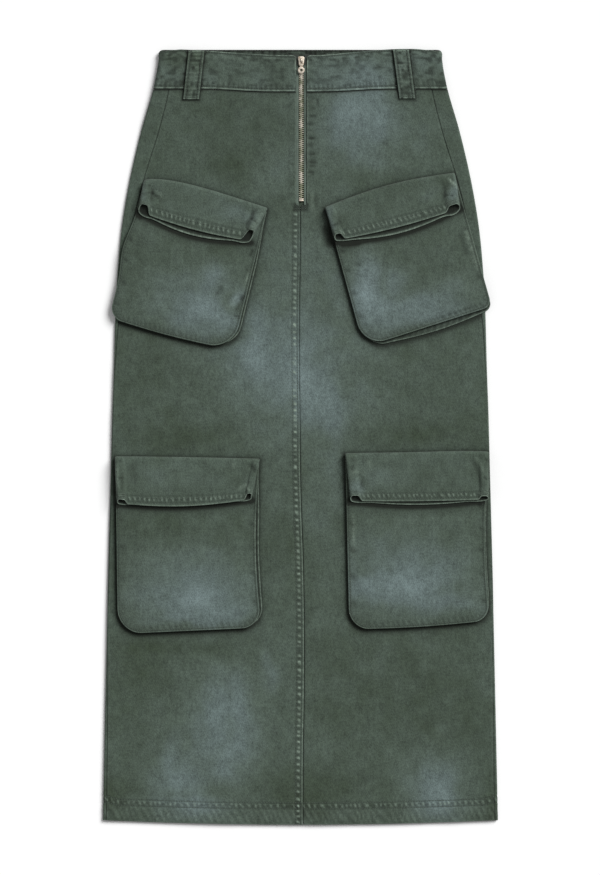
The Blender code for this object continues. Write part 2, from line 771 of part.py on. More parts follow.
def main():
    clear_scene()
    skirt = new_collection("cargo utility skirt")
    cutters = new_collection("cutters")
    back_panel(skirt)
    for side in (-1, 1):
        front_panel(skirt, side)
    waistband(skirt)
    for loop in LOOPS:
        belt_loop(skirt, loop)
    zip_parts(skirt)
    pivot_y = y_at(SLIDER_TOP + SLIDER_SIZE[1] / 2)
    slider(skirt, cutters, pivot_y)
    pull_tab(skirt, pivot_y)
    for pocket in POCKETS:
        pocket_front(skirt, pocket)
        pocket_gusset(skirt, pocket)
        pocket_turnover(skirt, pocket)


main()
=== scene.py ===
"""Looks for the cargo utility skirt: washed twill laid flat on its back, with bellows pockets and a zip.

Metres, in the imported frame: +Z up, z = 0 is the surface it lies on, +Y runs towards the waist and +X to the
viewer's right. A drop is a distance below the waist edge.
"""

import logging
import math
from dataclasses import dataclass, field
from enum import Enum
from functools import cached_property
from typing import NamedTuple

import bmesh
import bpy
import numpy as np
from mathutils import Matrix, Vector
from mathutils.bvhtree import BVHTree


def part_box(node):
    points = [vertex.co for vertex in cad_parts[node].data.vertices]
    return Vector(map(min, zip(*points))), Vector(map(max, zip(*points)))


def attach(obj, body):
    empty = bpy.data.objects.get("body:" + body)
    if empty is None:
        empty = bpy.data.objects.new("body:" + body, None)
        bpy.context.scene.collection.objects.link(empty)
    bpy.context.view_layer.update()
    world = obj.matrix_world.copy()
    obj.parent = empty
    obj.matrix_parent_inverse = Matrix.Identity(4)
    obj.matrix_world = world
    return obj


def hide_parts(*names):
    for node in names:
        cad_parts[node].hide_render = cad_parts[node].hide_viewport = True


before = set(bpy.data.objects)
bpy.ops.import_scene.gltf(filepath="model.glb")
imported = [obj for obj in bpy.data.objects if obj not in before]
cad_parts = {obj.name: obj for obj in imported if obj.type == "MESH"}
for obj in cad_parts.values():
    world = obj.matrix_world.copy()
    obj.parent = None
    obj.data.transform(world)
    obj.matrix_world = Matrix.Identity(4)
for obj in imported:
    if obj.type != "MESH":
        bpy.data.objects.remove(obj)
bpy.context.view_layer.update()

MM = 0.001
SKIRT_BODY = "skirt"
PULL_BODY = "pull_tab"
CLOTH_SHARP = math.radians(62)  # edges that turn more than this stay sharp
METAL_SHARP = math.radians(38)
DARKEST = 0.2  # a wash of minus this much is the darkest the cloth goes: deep dye in some patches, painted shade in others
Array = np.ndarray
Socket = bpy.types.NodeSocket
log = logging.getLogger("cargo skirt")


# Arithmetic ---------------------------------------------------------------------------------------
def smooth(value: Array, start: float, end: float) -> Array:
    """An even S.

    Args:
        value: Where to read it.
        start: It is 0 up to here.
        end: It is 1 from here on; an end below the start turns it round.

    Returns:
        Values from 0 to 1.
    """
    share = np.clip((np.asarray(value, float) - start) / (end - start), 0.0, 1.0)
    return share * share * (3 - 2 * share)


def mix(a: Array, b: Array, share: Array) -> Array:
    """Return the value that lies `share` of the way from a to b."""
    return a + (b - a) * share


def hill(distance: Array, width: float) -> Array:
    """Return a round hump that is 1 at distance 0 and 0.37 at one width."""
    return np.exp(-((distance / width) ** 2))


def ridge(distance: Array, middle: float, width: float) -> Array:
    """Return a hill whose middle and width are in millimetres."""
    return hill(distance - middle * MM, width * MM)


def ramp(distance: Array, start: float, end: float) -> Array:
    """Return an even S whose start and end are in millimetres."""
    return smooth(distance, start * MM, end * MM)


def fair_curve(value: Array, knots: Array) -> Array:
    """A smooth curve through knots.

    Args:
        value: Where to read it.
        knots: Rows of (place, height), in order of place.

    Returns:
        The curve's heights.
    """
    x, y = np.asarray(knots, float).T
    slope = np.gradient(y, x)
    value = np.clip(value, x[0], x[-1])
    i = np.clip(np.searchsorted(x, value) - 1, 0, len(x) - 2)
    step = x[i + 1] - x[i]
    t = (value - x[i]) / step
    return ((1 + 2 * t) * (1 - t) ** 2 * y[i] + t * (1 - t) ** 2 * step * slope[i]
            + t * t * (3 - 2 * t) * y[i + 1] + t * t * (t - 1) * step * slope[i + 1])


def distance_to_path(x: Array, y: Array, path: list) -> tuple[Array, Array]:
    """Distance to an open path in plan.

    Args:
        x: Places across.
        y: Places along.
        path: The path's corners as (x, y).

    Returns:
        The distance, and how far along the path the nearest spot is, from 0 to 1.
    """
    path = np.asarray(path, float)
    lengths = np.linalg.norm(np.diff(path, axis=0), axis=1)
    starts = np.concatenate([[0.0], np.cumsum(lengths)])
    best, place = np.full(np.shape(x), np.inf), np.zeros(np.shape(x))
    for (ax, ay), (bx, by), start, length in zip(path[:-1], path[1:], starts, lengths):
        dx, dy = bx - ax, by - ay
        t = np.clip(((x - ax) * dx + (y - ay) * dy) / (length * length), 0.0, 1.0)
        away = np.hypot(x - ax - t * dx, y - ay - t * dy)
        nearer = away < best
        best = np.where(nearer, away, best)
        place = np.where(nearer, (start + t * length) / starts[-1], place)
    return best, place


def steps(start: list, length: float, spacing: float, end: list) -> Array:
    """Places along a length: given ones from each end, and even ones between them.

    Args:
        start: Distances from the start, in order.
        length: The whole length.
        spacing: About how far apart the even ones are.
        end: Distances from the end, in order.

    Returns:
        Places from 0 to length.
    """
    first, last = start[-1], length - end[-1]
    count = max(int(round((last - first) / spacing)), 1)
    middle = np.linspace(first, last, count + 1)[1:-1]
    return np.concatenate([start, middle, length - np.array(end)[::-1]])


def run_length(path: Array) -> Array:
    """Return the length along a path up to each of its points."""
    return np.concatenate([[0.0], np.cumsum(np.linalg.norm(np.diff(path, axis=0), axis=1))])


EDGE = [0.0, 0.35 * MM, 0.9 * MM, 1.6 * MM, 2.4 * MM, 3.3 * MM]


def edge_then(until: float, spacing: float) -> list:
    """Return distances from a cut edge: close ones at the edge, then even ones up to `until`."""
    return EDGE + list(np.arange(EDGE[-1] + spacing, until, spacing))


@dataclass(frozen=True)
class Unevenness:
    """Smooth random values from -1 to 1, as hands and washing leave in cloth."""

    cell: float
    seed: int

    def at(self, x: Array, y: Array) -> Array:
        """Read the values, which are the same at each run.

        Args:
            x, y: Places in plan.

        Returns:
            The values.
        """
        size = 61
        lattice = np.random.default_rng(self.seed).uniform(-1, 1, (size, size))
        u, v = np.broadcast_arrays(np.asarray(x) / self.cell, np.asarray(y) / self.cell)
        i, j = np.floor(u).astype(int), np.floor(v).astype(int)
        a, b = smooth(u - i, 0, 1), smooth(v - j, 0, 1)
        i, j, k, m = i % size, j % size, (i + 1) % size, (j + 1) % size
        return mix(mix(lattice[i, j], lattice[k, j], a), mix(lattice[i, m], lattice[k, m], a), b)


def uneven(cell: float, seed: int, x: Array, y: Array) -> Array:
    """Return the unevenness at places in plan, with cells given in millimetres."""
    return Unevenness(cell * MM, seed).at(x, y)


# Cloth --------------------------------------------------------------------------------------------
@dataclass
class Relief:
    """What sewing, wear and light do to cloth: height out of the plain layer, rubbed-up light, and dark that
    is mostly painted shade, with some dark mottling.
    """

    height: Array = 0.0
    worn: Array = 0.0
    shade: Array = 0.0

    def __add__(self, other: "Relief") -> "Relief":
        """Return both together."""
        return Relief(self.height + other.height, self.worn + other.worn, self.shade + other.shade)

    def __mul__(self, share: Array) -> "Relief":
        """Return this much of it."""
        return Relief(self.height * share, self.worn * share, self.shade * share)


@dataclass(frozen=True)
class Puckers:
    """Irregular ridges that a seam, drawn in by its thread, throws up across itself."""

    pitch: float
    seed: int
    slant: float = 0.0
    sharp: float = 2.0

    def at(self, along: Array, across: Array) -> Array:
        """Return the ridges' heights from 0 to 1, at places along and across the seam."""
        wander = Unevenness(self.pitch * 2.7, self.seed).at(along, 0.0)
        phase = (along + self.slant * across) / self.pitch + 0.55 * wander
        size = 0.8 + 0.2 * Unevenness(self.pitch * 1.6, self.seed + 1).at(along, 0.3)
        return size * (0.5 + 0.5 * np.cos(2 * np.pi * phase)) ** self.sharp


@dataclass(frozen=True)
class TwinSeam:
    """Two parallel rows of stitching, with the cloth between them drawn into ridges."""

    puckers: Puckers
    gauge: float = 6.4 * MM
    rise: float = 0.6 * MM
    groove: float = 0.35 * MM
    ripple: float = 0.25 * MM

    def on(self, along: Array, across: Array) -> Relief:
        """The seam's relief.

        Args:
            along: Places along the seam.
            across: Places across it, from its middle.

        Returns:
            The relief.
        """
        ridges = self.puckers.at(along, across)
        bump = smooth(ridges, 0.15, 0.6)
        half = self.gauge / 2
        between = smooth(np.abs(across), half * 0.8, half * 0.3)
        row = hill(np.abs(across) - half, 0.75 * MM)
        beside = hill(np.abs(across) - half * 1.7, half)
        height = self.rise * bump * between - self.groove * row + self.ripple * (ridges - 0.4) * beside
        worn = 1.1 * bump * between * ridges + 0.08 * ridges * beside
        shade = 0.6 * row * (1 - 0.4 * bump) + 0.42 * between * (1 - bump)
        return Relief(height, worn, shade)


class Crease(NamedTuple):
    """A soft fold in millimetres: its path in plan, height (minus is a trough), width, and tone: extra light
    tone on a ridge, extra painted shade in a trough.
    """

    path: tuple
    height: float
    width: float
    tone: float = 0.0

    def on(self, x: Array, y: Array) -> Relief:
        """The fold's relief.

        Args:
            x, y: Places in plan.

        Returns:
            The relief.
        """
        away, place = distance_to_path(x, y, np.array(self.path) * MM)
        taper = smooth(place, 0.0, 0.25) * smooth(place, 1.0, 0.75) * 0.85 + 0.15
        size = hill(away, self.width * MM) * taper
        up = self.height > 0
        # A ridge gets lighter, a trough gets painted shade.
        worn, shade = (0.14 + self.tone) * size * up, (0.3 + self.tone) * size * (not up)
        return Relief(self.height * MM * size, worn, shade)


def creased(x: Array, y: Array, rows: tuple) -> Relief:
    """Return the relief of a table of creases at places in plan; its columns are those of Crease."""
    return sum((Crease(*row).on(x, y) for row in rows), Relief())


class Patch(NamedTuple):
    """A soft patch where the dye was rubbed back, or with a minus strength a darker one, deeper dye in some
    and painted shade in others: middle and radii in millimetres, and tilt in degrees.
    """

    x: float
    y: float
    across: float
    along: float
    tilt: float
    strength: float

    def at(self, x: Array, y: Array) -> Array:
        """How far the dye is gone.

        Args:
            x, y: Places in plan.

        Returns:
            0 where the cloth is plain, and the strength in the middle.
        """
        angle = math.radians(self.tilt)
        dx, dy = x - self.x * MM, y - self.y * MM
        u = (dx * math.cos(angle) + dy * math.sin(angle)) / (self.across * MM)
        v = (dy * math.cos(angle) - dx * math.sin(angle)) / (self.along * MM)
        return self.strength * np.exp(-(u * u + v * v))


def washed(x: Array, y: Array, rows: tuple) -> Array:
    """How far the dye is gone under a table of patches, with their borders blown uneven; some minus patches
    are painted shade.

    Args:
        x: Places across.
        y: Places along.
        rows: The table, with the columns of Patch; a minus strength is darker than the plain cloth, deeper
            dye in some rows and painted shade in others.

    Returns:
        The wash, 0 where the cloth is darkest and 1 where the dye is gone.
    """
    drift_x = 7 * MM * uneven(38, 3, x, y) + 3 * MM * uneven(13, 4, x, y)
    drift_y = 7 * MM * uneven(38, 5, x, y) + 3 * MM * uneven(13, 6, x, y)
    pale, dark = np.zeros(np.shape(x)), np.zeros(np.shape(x))
    for patch in (Patch(*row) for row in rows):
        value = patch.at(x + drift_x, y + drift_y)
        pale, dark = (pale + value**3, dark) if patch.strength > 0 else (pale, dark + value)
    blotchy = 0.07 * uneven(26, 8, x, y) + 0.05 * uneven(11, 9, x, y)
    total = np.cbrt(pale) * (1 + 0.12 * uneven(16, 7, x, y)) + dark + blotchy
    return (total + DARKEST) / (1 + DARKEST)


def quad_mesh(name: str, verts: Array, quads: Array) -> bpy.types.Mesh:
    """Make a mesh.

    Args:
        name: The mesh's name.
        verts: Rows of x, y, z.
        quads: Rows of four corners.

    Returns:
        The mesh, smooth but for its sharp edges.
    """
    mesh = bpy.data.meshes.new(name)
    mesh.vertices.add(len(verts))
    mesh.vertices.foreach_set("co", np.ascontiguousarray(verts, np.float32).ravel())
    mesh.loops.add(quads.size)
    mesh.loops.foreach_set("vertex_index", np.ascontiguousarray(quads, np.int32).ravel())
    mesh.polygons.add(len(quads))
    mesh.polygons.foreach_set("loop_start", np.arange(0, quads.size, 4, dtype=np.int32))
    mesh.update(calc_edges=True)
    mesh.validate()
    mesh.shade_smooth()
    mesh.set_sharp_from_angle(angle=CLOTH_SHARP)
    return mesh


def put(name: str, data: bpy.types.ID) -> bpy.types.Object:
    """Return a new object with this data, linked to the scene."""
    obj = bpy.data.objects.new(name, data)
    bpy.context.scene.collection.objects.link(obj)
    return obj


def finish_piece(name: str, mesh: bpy.types.Mesh, material: bpy.types.Material, body: str,
                 replaces: tuple = ()) -> bpy.types.Object:
    """Put a mesh in the scene as a piece of the skirt.

    Args:
        name: The piece's name.
        mesh: Its mesh, in place.
        material: Its material.
        body: The body that it rides on.
        replaces: The construction nodes that it stands for.

    Returns:
        The piece.
    """
    mesh.materials.append(material)
    obj = put(name, mesh)
    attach(obj, body)
    if replaces:
        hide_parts(*replaces)
    return obj


@dataclass
class Cloth:
    """One layer of cloth as a grid of points through its middle; a ring's columns close on themselves."""

    points: Array
    relief: Relief
    wash: Array
    thickness: float
    ring: bool = False
    inside: Array = 0.0  # shade on the inner face
    thinned: float = 0.55  # of the thickness, at a free edge

    def normals(self) -> Array:
        """Return the direction out of the cloth at each point."""
        rows = np.gradient(self.points, axis=0)
        if self.ring:
            columns = np.roll(self.points, -1, axis=1) - np.roll(self.points, 1, axis=1)
        else:
            columns = np.gradient(self.points, axis=1)
        normal = np.cross(rows, columns)
        return normal / np.maximum(np.linalg.norm(normal, axis=2, keepdims=True), 1e-12)

    def walls(self) -> Array:
        """Return the thickness at each point, less at the free edges so that they are rounded."""
        wall = np.full(self.points.shape[:2], self.thickness)
        wall[[0, -1]] *= self.thinned
        if not self.ring:
            wall[:, [0, -1]] *= self.thinned
        return wall

    def cut(self) -> tuple[float, float, float]:
        """Return the width, length and area that this layer is cut to, flat."""
        grid = np.concatenate([self.points, self.points[:, :1]], axis=1) if self.ring else self.points
        across = np.linalg.norm(np.diff(grid, axis=1), axis=2)
        down = np.linalg.norm(np.diff(grid, axis=0), axis=2)
        a, b = grid[1:, 1:] - grid[:-1, :-1], grid[1:, :-1] - grid[:-1, 1:]
        area = 0.5 * np.linalg.norm(np.cross(a, b), axis=2).sum()
        width, length = float(across.sum(1).max()), float(down.sum(0).max())
        return width, length, float(min(area, width * length))

    def mesh(self, name: str) -> bpy.types.Mesh:
        """Make the closed shell of this layer.

        Args:
            name: The mesh's name.

        Returns:
            The mesh, with the wash, wear and shade as attributes.
        """
        normal, wall = self.normals(), self.walls()
        shape = self.points.shape[:2]
        middle = self.points + normal * np.broadcast_to(self.relief.height, shape)[..., None]
        outer, inner = middle + normal * wall[..., None] / 2, middle - normal * wall[..., None] / 2
        count, across = shape
        index = np.arange(count * across).reshape(shape)
        if self.ring:
            index = np.concatenate([index, index[:, :1]], axis=1)
        back = index + count * across
        a, b, c, d = index[:-1, :-1], index[1:, :-1], index[1:, 1:], index[:-1, 1:]
        e, f, g, h = back[:-1, :-1], back[1:, :-1], back[1:, 1:], back[:-1, 1:]
        quads = [np.stack([a, b, c, d], -1), np.stack([h, g, f, e], -1)]
        quads.append(np.stack([index[0, :-1], index[0, 1:], back[0, 1:], back[0, :-1]], -1))
        quads.append(np.stack([index[-1, :-1], back[-1, :-1], back[-1, 1:], index[-1, 1:]], -1))
        if not self.ring:
            quads.append(np.stack([index[:-1, 0], back[:-1, 0], back[1:, 0], index[1:, 0]], -1))
            quads.append(np.stack([index[:-1, -1], index[1:, -1], back[1:, -1], back[:-1, -1]], -1))
        verts = np.concatenate([outer.reshape(-1, 3), inner.reshape(-1, 3)])
        mesh = quad_mesh(name, verts, np.concatenate([q.reshape(-1, 4) for q in quads]))
        tones = {"wash": self.wash, "worn": self.relief.worn, "shade": self.relief.shade}
        for key, values in tones.items():
            inner = values + self.inside if key == "shade" else values
            both = [np.broadcast_to(face, shape).ravel() for face in (values, inner)]
            layer = mesh.attributes.new(key, "FLOAT", "POINT")
            layer.data.foreach_set("value", np.concatenate(both).astype(np.float32))
        return mesh


# Finishes -----------------------------------------------------------------------------------------
def linear(colour: str) -> tuple[float, float, float, float]:
    """Turn an sRGB hex colour into linear values with an alpha of 1."""
    values = [int(colour[i : i + 2], 16) / 255 for i in (1, 3, 5)]
    return (*(v / 12.92 if v <= 0.04045 else ((v + 0.055) / 1.055) ** 2.4 for v in values), 1.0)


WAVE_SCALE = 0.314  # of a wave texture whose lines are one unit apart


def add_node(tree: bpy.types.NodeTree, kind: str, settings: dict | None = None,
             links: dict | None = None) -> bpy.types.Node:
    """Add a node with its settings and links.

    Args:
        tree: The tree that it goes in.
        kind: The node's type, without "ShaderNode".
        settings: Values by the name of a property, or by a socket's name or number.
        links: Output sockets by the name or number of the input that they go to.

    Returns:
        The node.
    """
    node = tree.nodes.new("ShaderNode" + kind)
    for key, value in (settings or {}).items():
        if isinstance(key, str) and hasattr(node, key):
            setattr(node, key, value)
        else:
            node.inputs[key].default_value = value
    for key, socket in (links or {}).items():
        tree.links.new(socket, node.inputs[key])
    return node


class Recipe:
    """A material being made: its nodes, in short words, and the shader that they lead to."""

    def __init__(self, name: str) -> None:
        """Start a material."""
        self.material = bpy.data.materials.new(name)
        self.material.use_nodes = True
        self.tree = self.material.node_tree
        self.shader = self.tree.nodes["Principled BSDF"]

    @cached_property
    def spot(self) -> Socket:
        """The place on the object."""
        return add_node(self.tree, "TexCoord").outputs["Object"]

    def place(self, **mapping: tuple) -> Socket:
        """Return the place on the object, turned or stretched by a Mapping's settings if there are any."""
        if not mapping:
            return self.spot
        return add_node(self.tree, "Mapping", mapping, {"Vector": self.spot}).outputs[0]

    def noise(self, size: float, detail: float = 2.0, rough: float = 0.5, **mapping: tuple) -> Socket:
        """Return cloudy values whose blots are about this size."""
        settings = {"Scale": 1 / size, "Detail": detail, "Roughness": rough}
        return add_node(self.tree, "TexNoise", settings, {"Vector": self.place(**mapping)}).outputs["Fac"]

    def lines(self, pitch: float, degrees: float, **settings: float) -> Socket:
        """Wavy lines.

        Args:
            pitch: How far apart they are.
            degrees: How far they are turned.
            settings: The texture's other settings.

        Returns:
            The lines' values.
        """
        place = self.place(Rotation=(0.0, 0.0, math.radians(degrees)))
        settings = {"Scale": WAVE_SCALE / pitch, **settings}
        return add_node(self.tree, "TexWave", settings, {"Vector": place}).outputs["Fac"]

    def tone(self, name: str) -> Socket:
        """Return the cloth's attribute of this name."""
        return add_node(self.tree, "Attribute", {"attribute_name": name}).outputs["Fac"]

    def spread(self, value: Socket, *ends: float) -> Socket:
        """Return the value moved from the range of the first two ends to that of the last two, or 0 to 1."""
        return add_node(self.tree, "MapRange", dict(enumerate(ends, 1)), {0: value}).outputs[0]

    def scale_and_add(self, value: Socket, share: float, base: object) -> Socket:
        """Add a share of a value to a base.

        Args:
            value: The value.
            share: How much of it.
            base: A number or a socket.

        Returns:
            The sum.
        """
        settings, links = {"operation": "MULTIPLY_ADD", 1: share}, {0: value}
        (settings if isinstance(base, float) else links)[2] = base
        return add_node(self.tree, "Math", settings, links).outputs[0]

    def blend(self, low: object, high: object, share: Socket) -> Socket:
        """Mix two colours, each of which is a hex colour or a socket.

        Args:
            low: The colour where the share is 0.
            high: The colour where it is 1.
            share: The share.

        Returns:
            The mixed colour.
        """
        settings, links = {"data_type": "RGBA"}, {0: share}
        for number, colour in ((6, low), (7, high)):
            if isinstance(colour, str):
                settings[number] = linear(colour)
            else:
                links[number] = colour
        return add_node(self.tree, "Mix", settings, links).outputs[2]

    def bump(self, strength: float, depth: float, height: Socket) -> Socket:
        """Return normals bent by a height, at most this deep."""
        settings = {"Strength": strength, "Distance": depth}
        return add_node(self.tree, "Bump", settings, {"Height": height}).outputs[0]

    def finish(self, **sockets: object) -> bpy.types.Material:
        """Set or link the shader's sockets.

        Args:
            sockets: Values or sockets, by the shader's socket names with _ for each space.

        Returns:
            The material.
        """
        for name, value in sockets.items():
            socket = self.shader.inputs[name.replace("_", " ")]
            if isinstance(value, Socket):
                self.tree.links.new(value, socket)
            else:
                socket.default_value = value
        return self.material


@dataclass(frozen=True)
class WashedTwill:
    """Cotton twill, garment-dyed, enzyme-washed and hand-sanded.

    It is matt and mealy, and a paler blue where the dye is gone.
    """

    name: str = "garment-dyed cotton twill"
    dyed: str = "#303B30"
    rubbed: str = "#677676"
    seam_edge: str = "#809082"
    painted_shade_and_mottling: str = "#10160F"
    olive: tuple = (1.0, 1.0, 0.91)  # the dye's own cast, which goes where it is washed out
    grain: float = 1.9 * MM  # yarn slubs; real ones are 0.4 mm, drawn coarser so that they show
    wale: float = 2.3 * MM  # twill lines; real ones are 0.9 mm apart, drawn coarser so that they show
    contrasts: tuple = (1.55, 0.10, 0.45, 0.75)  # of the grain, the wales, the slubs and the clouds

    def make(self) -> bpy.types.Material:
        """Build the material.

        Returns:
            The material, which reads the attributes wash, worn and shade.
        """
        m = Recipe(self.name)
        grain = m.noise(self.grain, 3.0, 0.62)
        wale = m.lines(self.wale, -28, **{"Distortion": 5.0, "Detail": 2.0, "Detail Scale": 1.5})
        slub = m.noise(2.4 * MM, Scale=(1.0, 0.16, 1.0))
        cloud = m.noise(9 * MM, 4.0, 0.6)
        mealy = 1.0 - 0.5 * sum(self.contrasts)
        for value, share in zip((grain, wale, slub, cloud), self.contrasts):
            mealy = m.scale_and_add(value, share, mealy)
        wash, worn, shade = (m.tone(name) for name in ("wash", "worn", "shade"))
        patchy = m.spread(m.noise(5 * MM, 3.0), 0.36, 0.62, 0.4, 1.0)
        broken = add_node(m.tree, "Math", {"operation": "MULTIPLY"}, {0: worn, 1: patchy}).outputs[0]
        colour = m.blend(self.dyed, self.rubbed, wash)
        cast = {"operation": "MULTIPLY", 1: self.olive}
        olive = add_node(m.tree, "VectorMath", cast, {0: colour}).outputs[0]
        colour = m.blend(olive, colour, m.spread(wash, 0.26, 0.52))
        colour = m.blend(colour, self.seam_edge, broken)
        # The shade attribute darkens towards this colour: painted shade in grooves, creases, hollows and cast
        # shadows, with some dark mottling.
        colour = m.blend(colour, self.painted_shade_and_mottling, shade)
        mealy = {0: colour, "Scale": mealy}
        colour = add_node(m.tree, "VectorMath", {"operation": "SCALE"}, mealy).outputs[0]
        weave = m.bump(0.3, 0.3 * MM, m.scale_and_add(wale, 0.5, grain))
        return m.finish(Base_Color=colour, Normal=weave, Roughness=0.93, Specular_IOR_Level=0.25,
                        Sheen_Weight=0.07, Sheen_Roughness=0.6)


@dataclass(frozen=True)
class DyedThread:
    """Spun thread dyed with the garment: a touch paler than the cloth, with a fine twist."""

    name: str = "spun polyester thread"
    colour: str = "#4A574C"
    painted_twist_shade: str = "#232B26"
    twist: float = 1.1 * MM

    def make(self) -> bpy.types.Material:
        """Return the material."""
        m = Recipe(self.name)
        twist = m.noise(self.twist)
        # The dark colour in the twist's grooves is painted shade.
        return m.finish(Base_Color=m.blend(self.painted_twist_shade, self.colour, twist),
                        Normal=m.bump(0.3, 0.1 * MM, twist), Roughness=0.8)


@dataclass(frozen=True)
class WovenTape:
    """Woven polyester zip tape: smooth close ribs, a little cleaner and greyer than the twill."""

    name: str = "woven zip tape"
    light: str = "#57665B"
    dark: str = "#36413A"
    painted_tape_shade: str = "#10160F"
    rib: float = 1.3 * MM  # real ribs are 0.5 mm apart, drawn coarser so that they show

    def make(self) -> bpy.types.Material:
        """Build the material.

        Returns:
            The material, which reads the attribute shade.
        """
        m = Recipe(self.name)
        rib = m.lines(self.rib, 45, Distortion=1.0)
        colour = m.blend(self.dark, self.light, m.scale_and_add(rib, 0.3, m.noise(7 * MM, 3.0)))
        # Painted shade where the tape lies in shadow.
        return m.finish(Base_Color=m.blend(colour, self.painted_tape_shade, m.tone("shade")),
                        Normal=m.bump(0.35, 0.15 * MM, rib), Roughness=0.72)


@dataclass(frozen=True)
class TumbledMetal:
    """Brass tumbled and left bare: a soft pale gleam on what is rubbed, greenish brown tarnish between."""

    name: str = "tumbled brass"
    bright: str = "#E4DED0"
    tarnish: str = "#A3A58E"
    patch: float = 22 * MM
    clean: float = 0.5

    def make(self) -> bpy.types.Material:
        """Build the material.

        Returns:
            The material.
        """
        m = Recipe(self.name)
        start = 0.62 - 0.3 * self.clean
        rubbed = m.spread(m.noise(self.patch, 4.0, 0.7), start, start + 0.1)
        scratch = m.noise(0.5 * MM)
        return m.finish(Base_Color=m.blend(self.tarnish, self.bright, rubbed),
                        Roughness=m.spread(scratch, 0.0, 1.0, 0.42, 0.62),
                        Normal=m.bump(0.12, 0.05 * MM, scratch), Metallic=1.0)


@dataclass(frozen=True)
class MattBoard:
    """Painted board: plain, pale and without gloss."""

    name: str = "painted board"
    colour: str = "#ECECEC"

    def make(self) -> bpy.types.Material:
        """Return the material."""
        return Recipe(self.name).finish(Base_Color=linear(self.colour), Roughness=0.95,
                                        Specular_IOR_Level=0.1)


class Finish(Enum):
    """The finishes of the skirt and of what it lies on."""

    TWILL = WashedTwill()
    THREAD = DyedThread()
    TAPE = WovenTape()
    CHAIN = TumbledMetal(name="tumbled brass teeth", patch=16 * MM, clean=0.5)
    HARDWARE = TumbledMetal(bright="#CDC4B6", tarnish="#A08C74", patch=3 * MM, clean=0.8)
    FLOOR = MattBoard()


@dataclass
class Wardrobe:
    """Makes each finish once."""

    made: dict = field(default_factory=dict)

    def __getitem__(self, finish: Finish) -> bpy.types.Material:
        """Return the material of a finish."""
        if finish not in self.made:
            self.made[finish] = finish.value.make()
        return self.made[finish]


# The tube -----------------------------------------------------------------------------------------
@dataclass(frozen=True)
class SkirtTube:
    """The skirt's form: two flat layers joined by a tight fold at each side."""

    length: float = 0.9694
    cloth: float = 1.2 * MM
    seam: float = 0.3 * MM
    band_depth: tuple = (49.8 * MM, 53.5 * MM)  # at the sides, and beside the zip
    hem_rise: float = 5.6 * MM
    front_level: float = 4.0 * MM
    back_level: float = 0.6 * MM
    back_at_band: float = 2.2 * MM
    band_back_level: float = 2.7 * MM
    zip_x: float = 1.0 * MM
    opening: tuple = (-5.6 * MM, 8.1 * MM)
    opening_end: float = 193.5 * MM
    sections: tuple = ((0.0, 0.1725), (0.0035, 0.1760), (0.0125, 0.1771), (0.0475, 0.1834), (0.1025, 0.1991),
                       (0.1625, 0.2131), (0.2225, 0.2233), (0.2825, 0.2290), (0.4, 0.2333), (0.6125, 0.2392),
                       (0.9694, 0.2472))
    centre_line: tuple = ((0.0, -0.0007), (0.27, -0.0007), (0.34, -0.0016), (0.4, -0.0015), (0.46, -0.0007),
                          (0.51, -0.0005), (0.57, 0.0008), (0.63, 0.003), (0.69, 0.0042), (0.81, 0.0043),
                          (0.88, 0.0032), (0.97, 0.003))
    side_seam: tuple = ((0.05, 0.0205), (0.1, 0.0225), (0.165, 0.0175), (0.23, 0.013), (0.32, 0.006),
                        (0.97, 0.0045))

    def y(self, drop: Array) -> Array:
        """Return Y at a drop."""
        return self.length / 2 - drop

    def half_width(self, drop: Array) -> Array:
        """Return half of the flat width at a drop."""
        return fair_curve(drop, self.sections)

    def round_front(self, drop: Array) -> Array:
        """Return how far the back comes round the side fold at a drop."""
        return fair_curve(drop, self.side_seam)

    def front_z(self, x: Array, drop: Array) -> Array:
        """Return the height of the front's middle, which rises over the back waistband and at the zip."""
        at_zip = (1 - smooth(np.abs(x - self.zip_x), 0.015, 0.100)) * (1 - smooth(drop, 0.050, 0.150))
        return self.front_level + 2.5 * MM * (1 - smooth(drop, 0.050, 0.130)) + 1.5 * MM * at_zip

    def back_z(self, drop: Array) -> Array:
        """Return the height of the back's middle."""
        below = mix(self.back_at_band, self.back_level, smooth(drop, 0.066, 0.120))
        return np.where(np.asarray(drop) <= self.band_depth[0], self.band_back_level, below)

    def radius(self, drop: Array) -> Array:
        """Return the side folds' radius at a drop."""
        return (self.front_z(self.half_width(drop), drop) - self.back_z(drop)) / 2

    def fold(self, side: int, along: Array, drop: Array, wall: float) -> Array:
        """Points of the tube by the length of cloth from a side fold.

        Args:
            side: -1 is the viewer's left, 1 the right.
            along: Cloth from the fold: + on the front, - behind.
            drop: Distances below the waist edge.
            wall: The cloth's thickness.

        Returns:
            The points.
        """
        along, drop = np.broadcast_arrays(along, drop)
        radius = self.radius(drop)
        centre = self.half_width(drop) - wall / 2 - radius
        quarter = radius * np.pi / 2
        angle = np.clip(along / radius, -np.pi / 2, np.pi / 2)
        x = centre + radius * np.cos(angle) - np.maximum(np.abs(along) - quarter, 0)
        round_it = self.back_z(drop) + radius * (1 + np.sin(angle))
        flat = np.where(along > 0, self.front_z(side * x, drop), self.back_z(drop))
        z = np.where(np.abs(along) <= quarter, round_it, flat)
        return np.stack([side * x, self.y(drop), z], -1)

    def band_seam(self, x: Array) -> Array:
        """Return the drop of the front waist seam."""
        return mix(self.band_depth[1], self.band_depth[0], ramp(np.abs(x + 6 * MM), 30, 120))

    def band_top(self, x: Array) -> Array:
        """Return the drop of the front waist edge, which dips to the zip."""
        reach = np.where(x < 0, 0.178, 0.130)
        share = np.clip((np.abs(x) - 0.008) / (reach - 0.008), 0.0, 1.0)
        return 8.4 * MM * (1 - share * share * (3 - 2 * share))

    def centre_seam(self, drop: Array) -> Array:
        """Return X of the centre seam's lapped edge at a drop."""
        return fair_curve(drop, self.centre_line)

    def hem(self, x: Array) -> Array:
        """Return the hem's drop."""
        return self.length - self.hem_rise * np.minimum(np.abs(x) / self.sections[-1][1], 1.0) ** 2


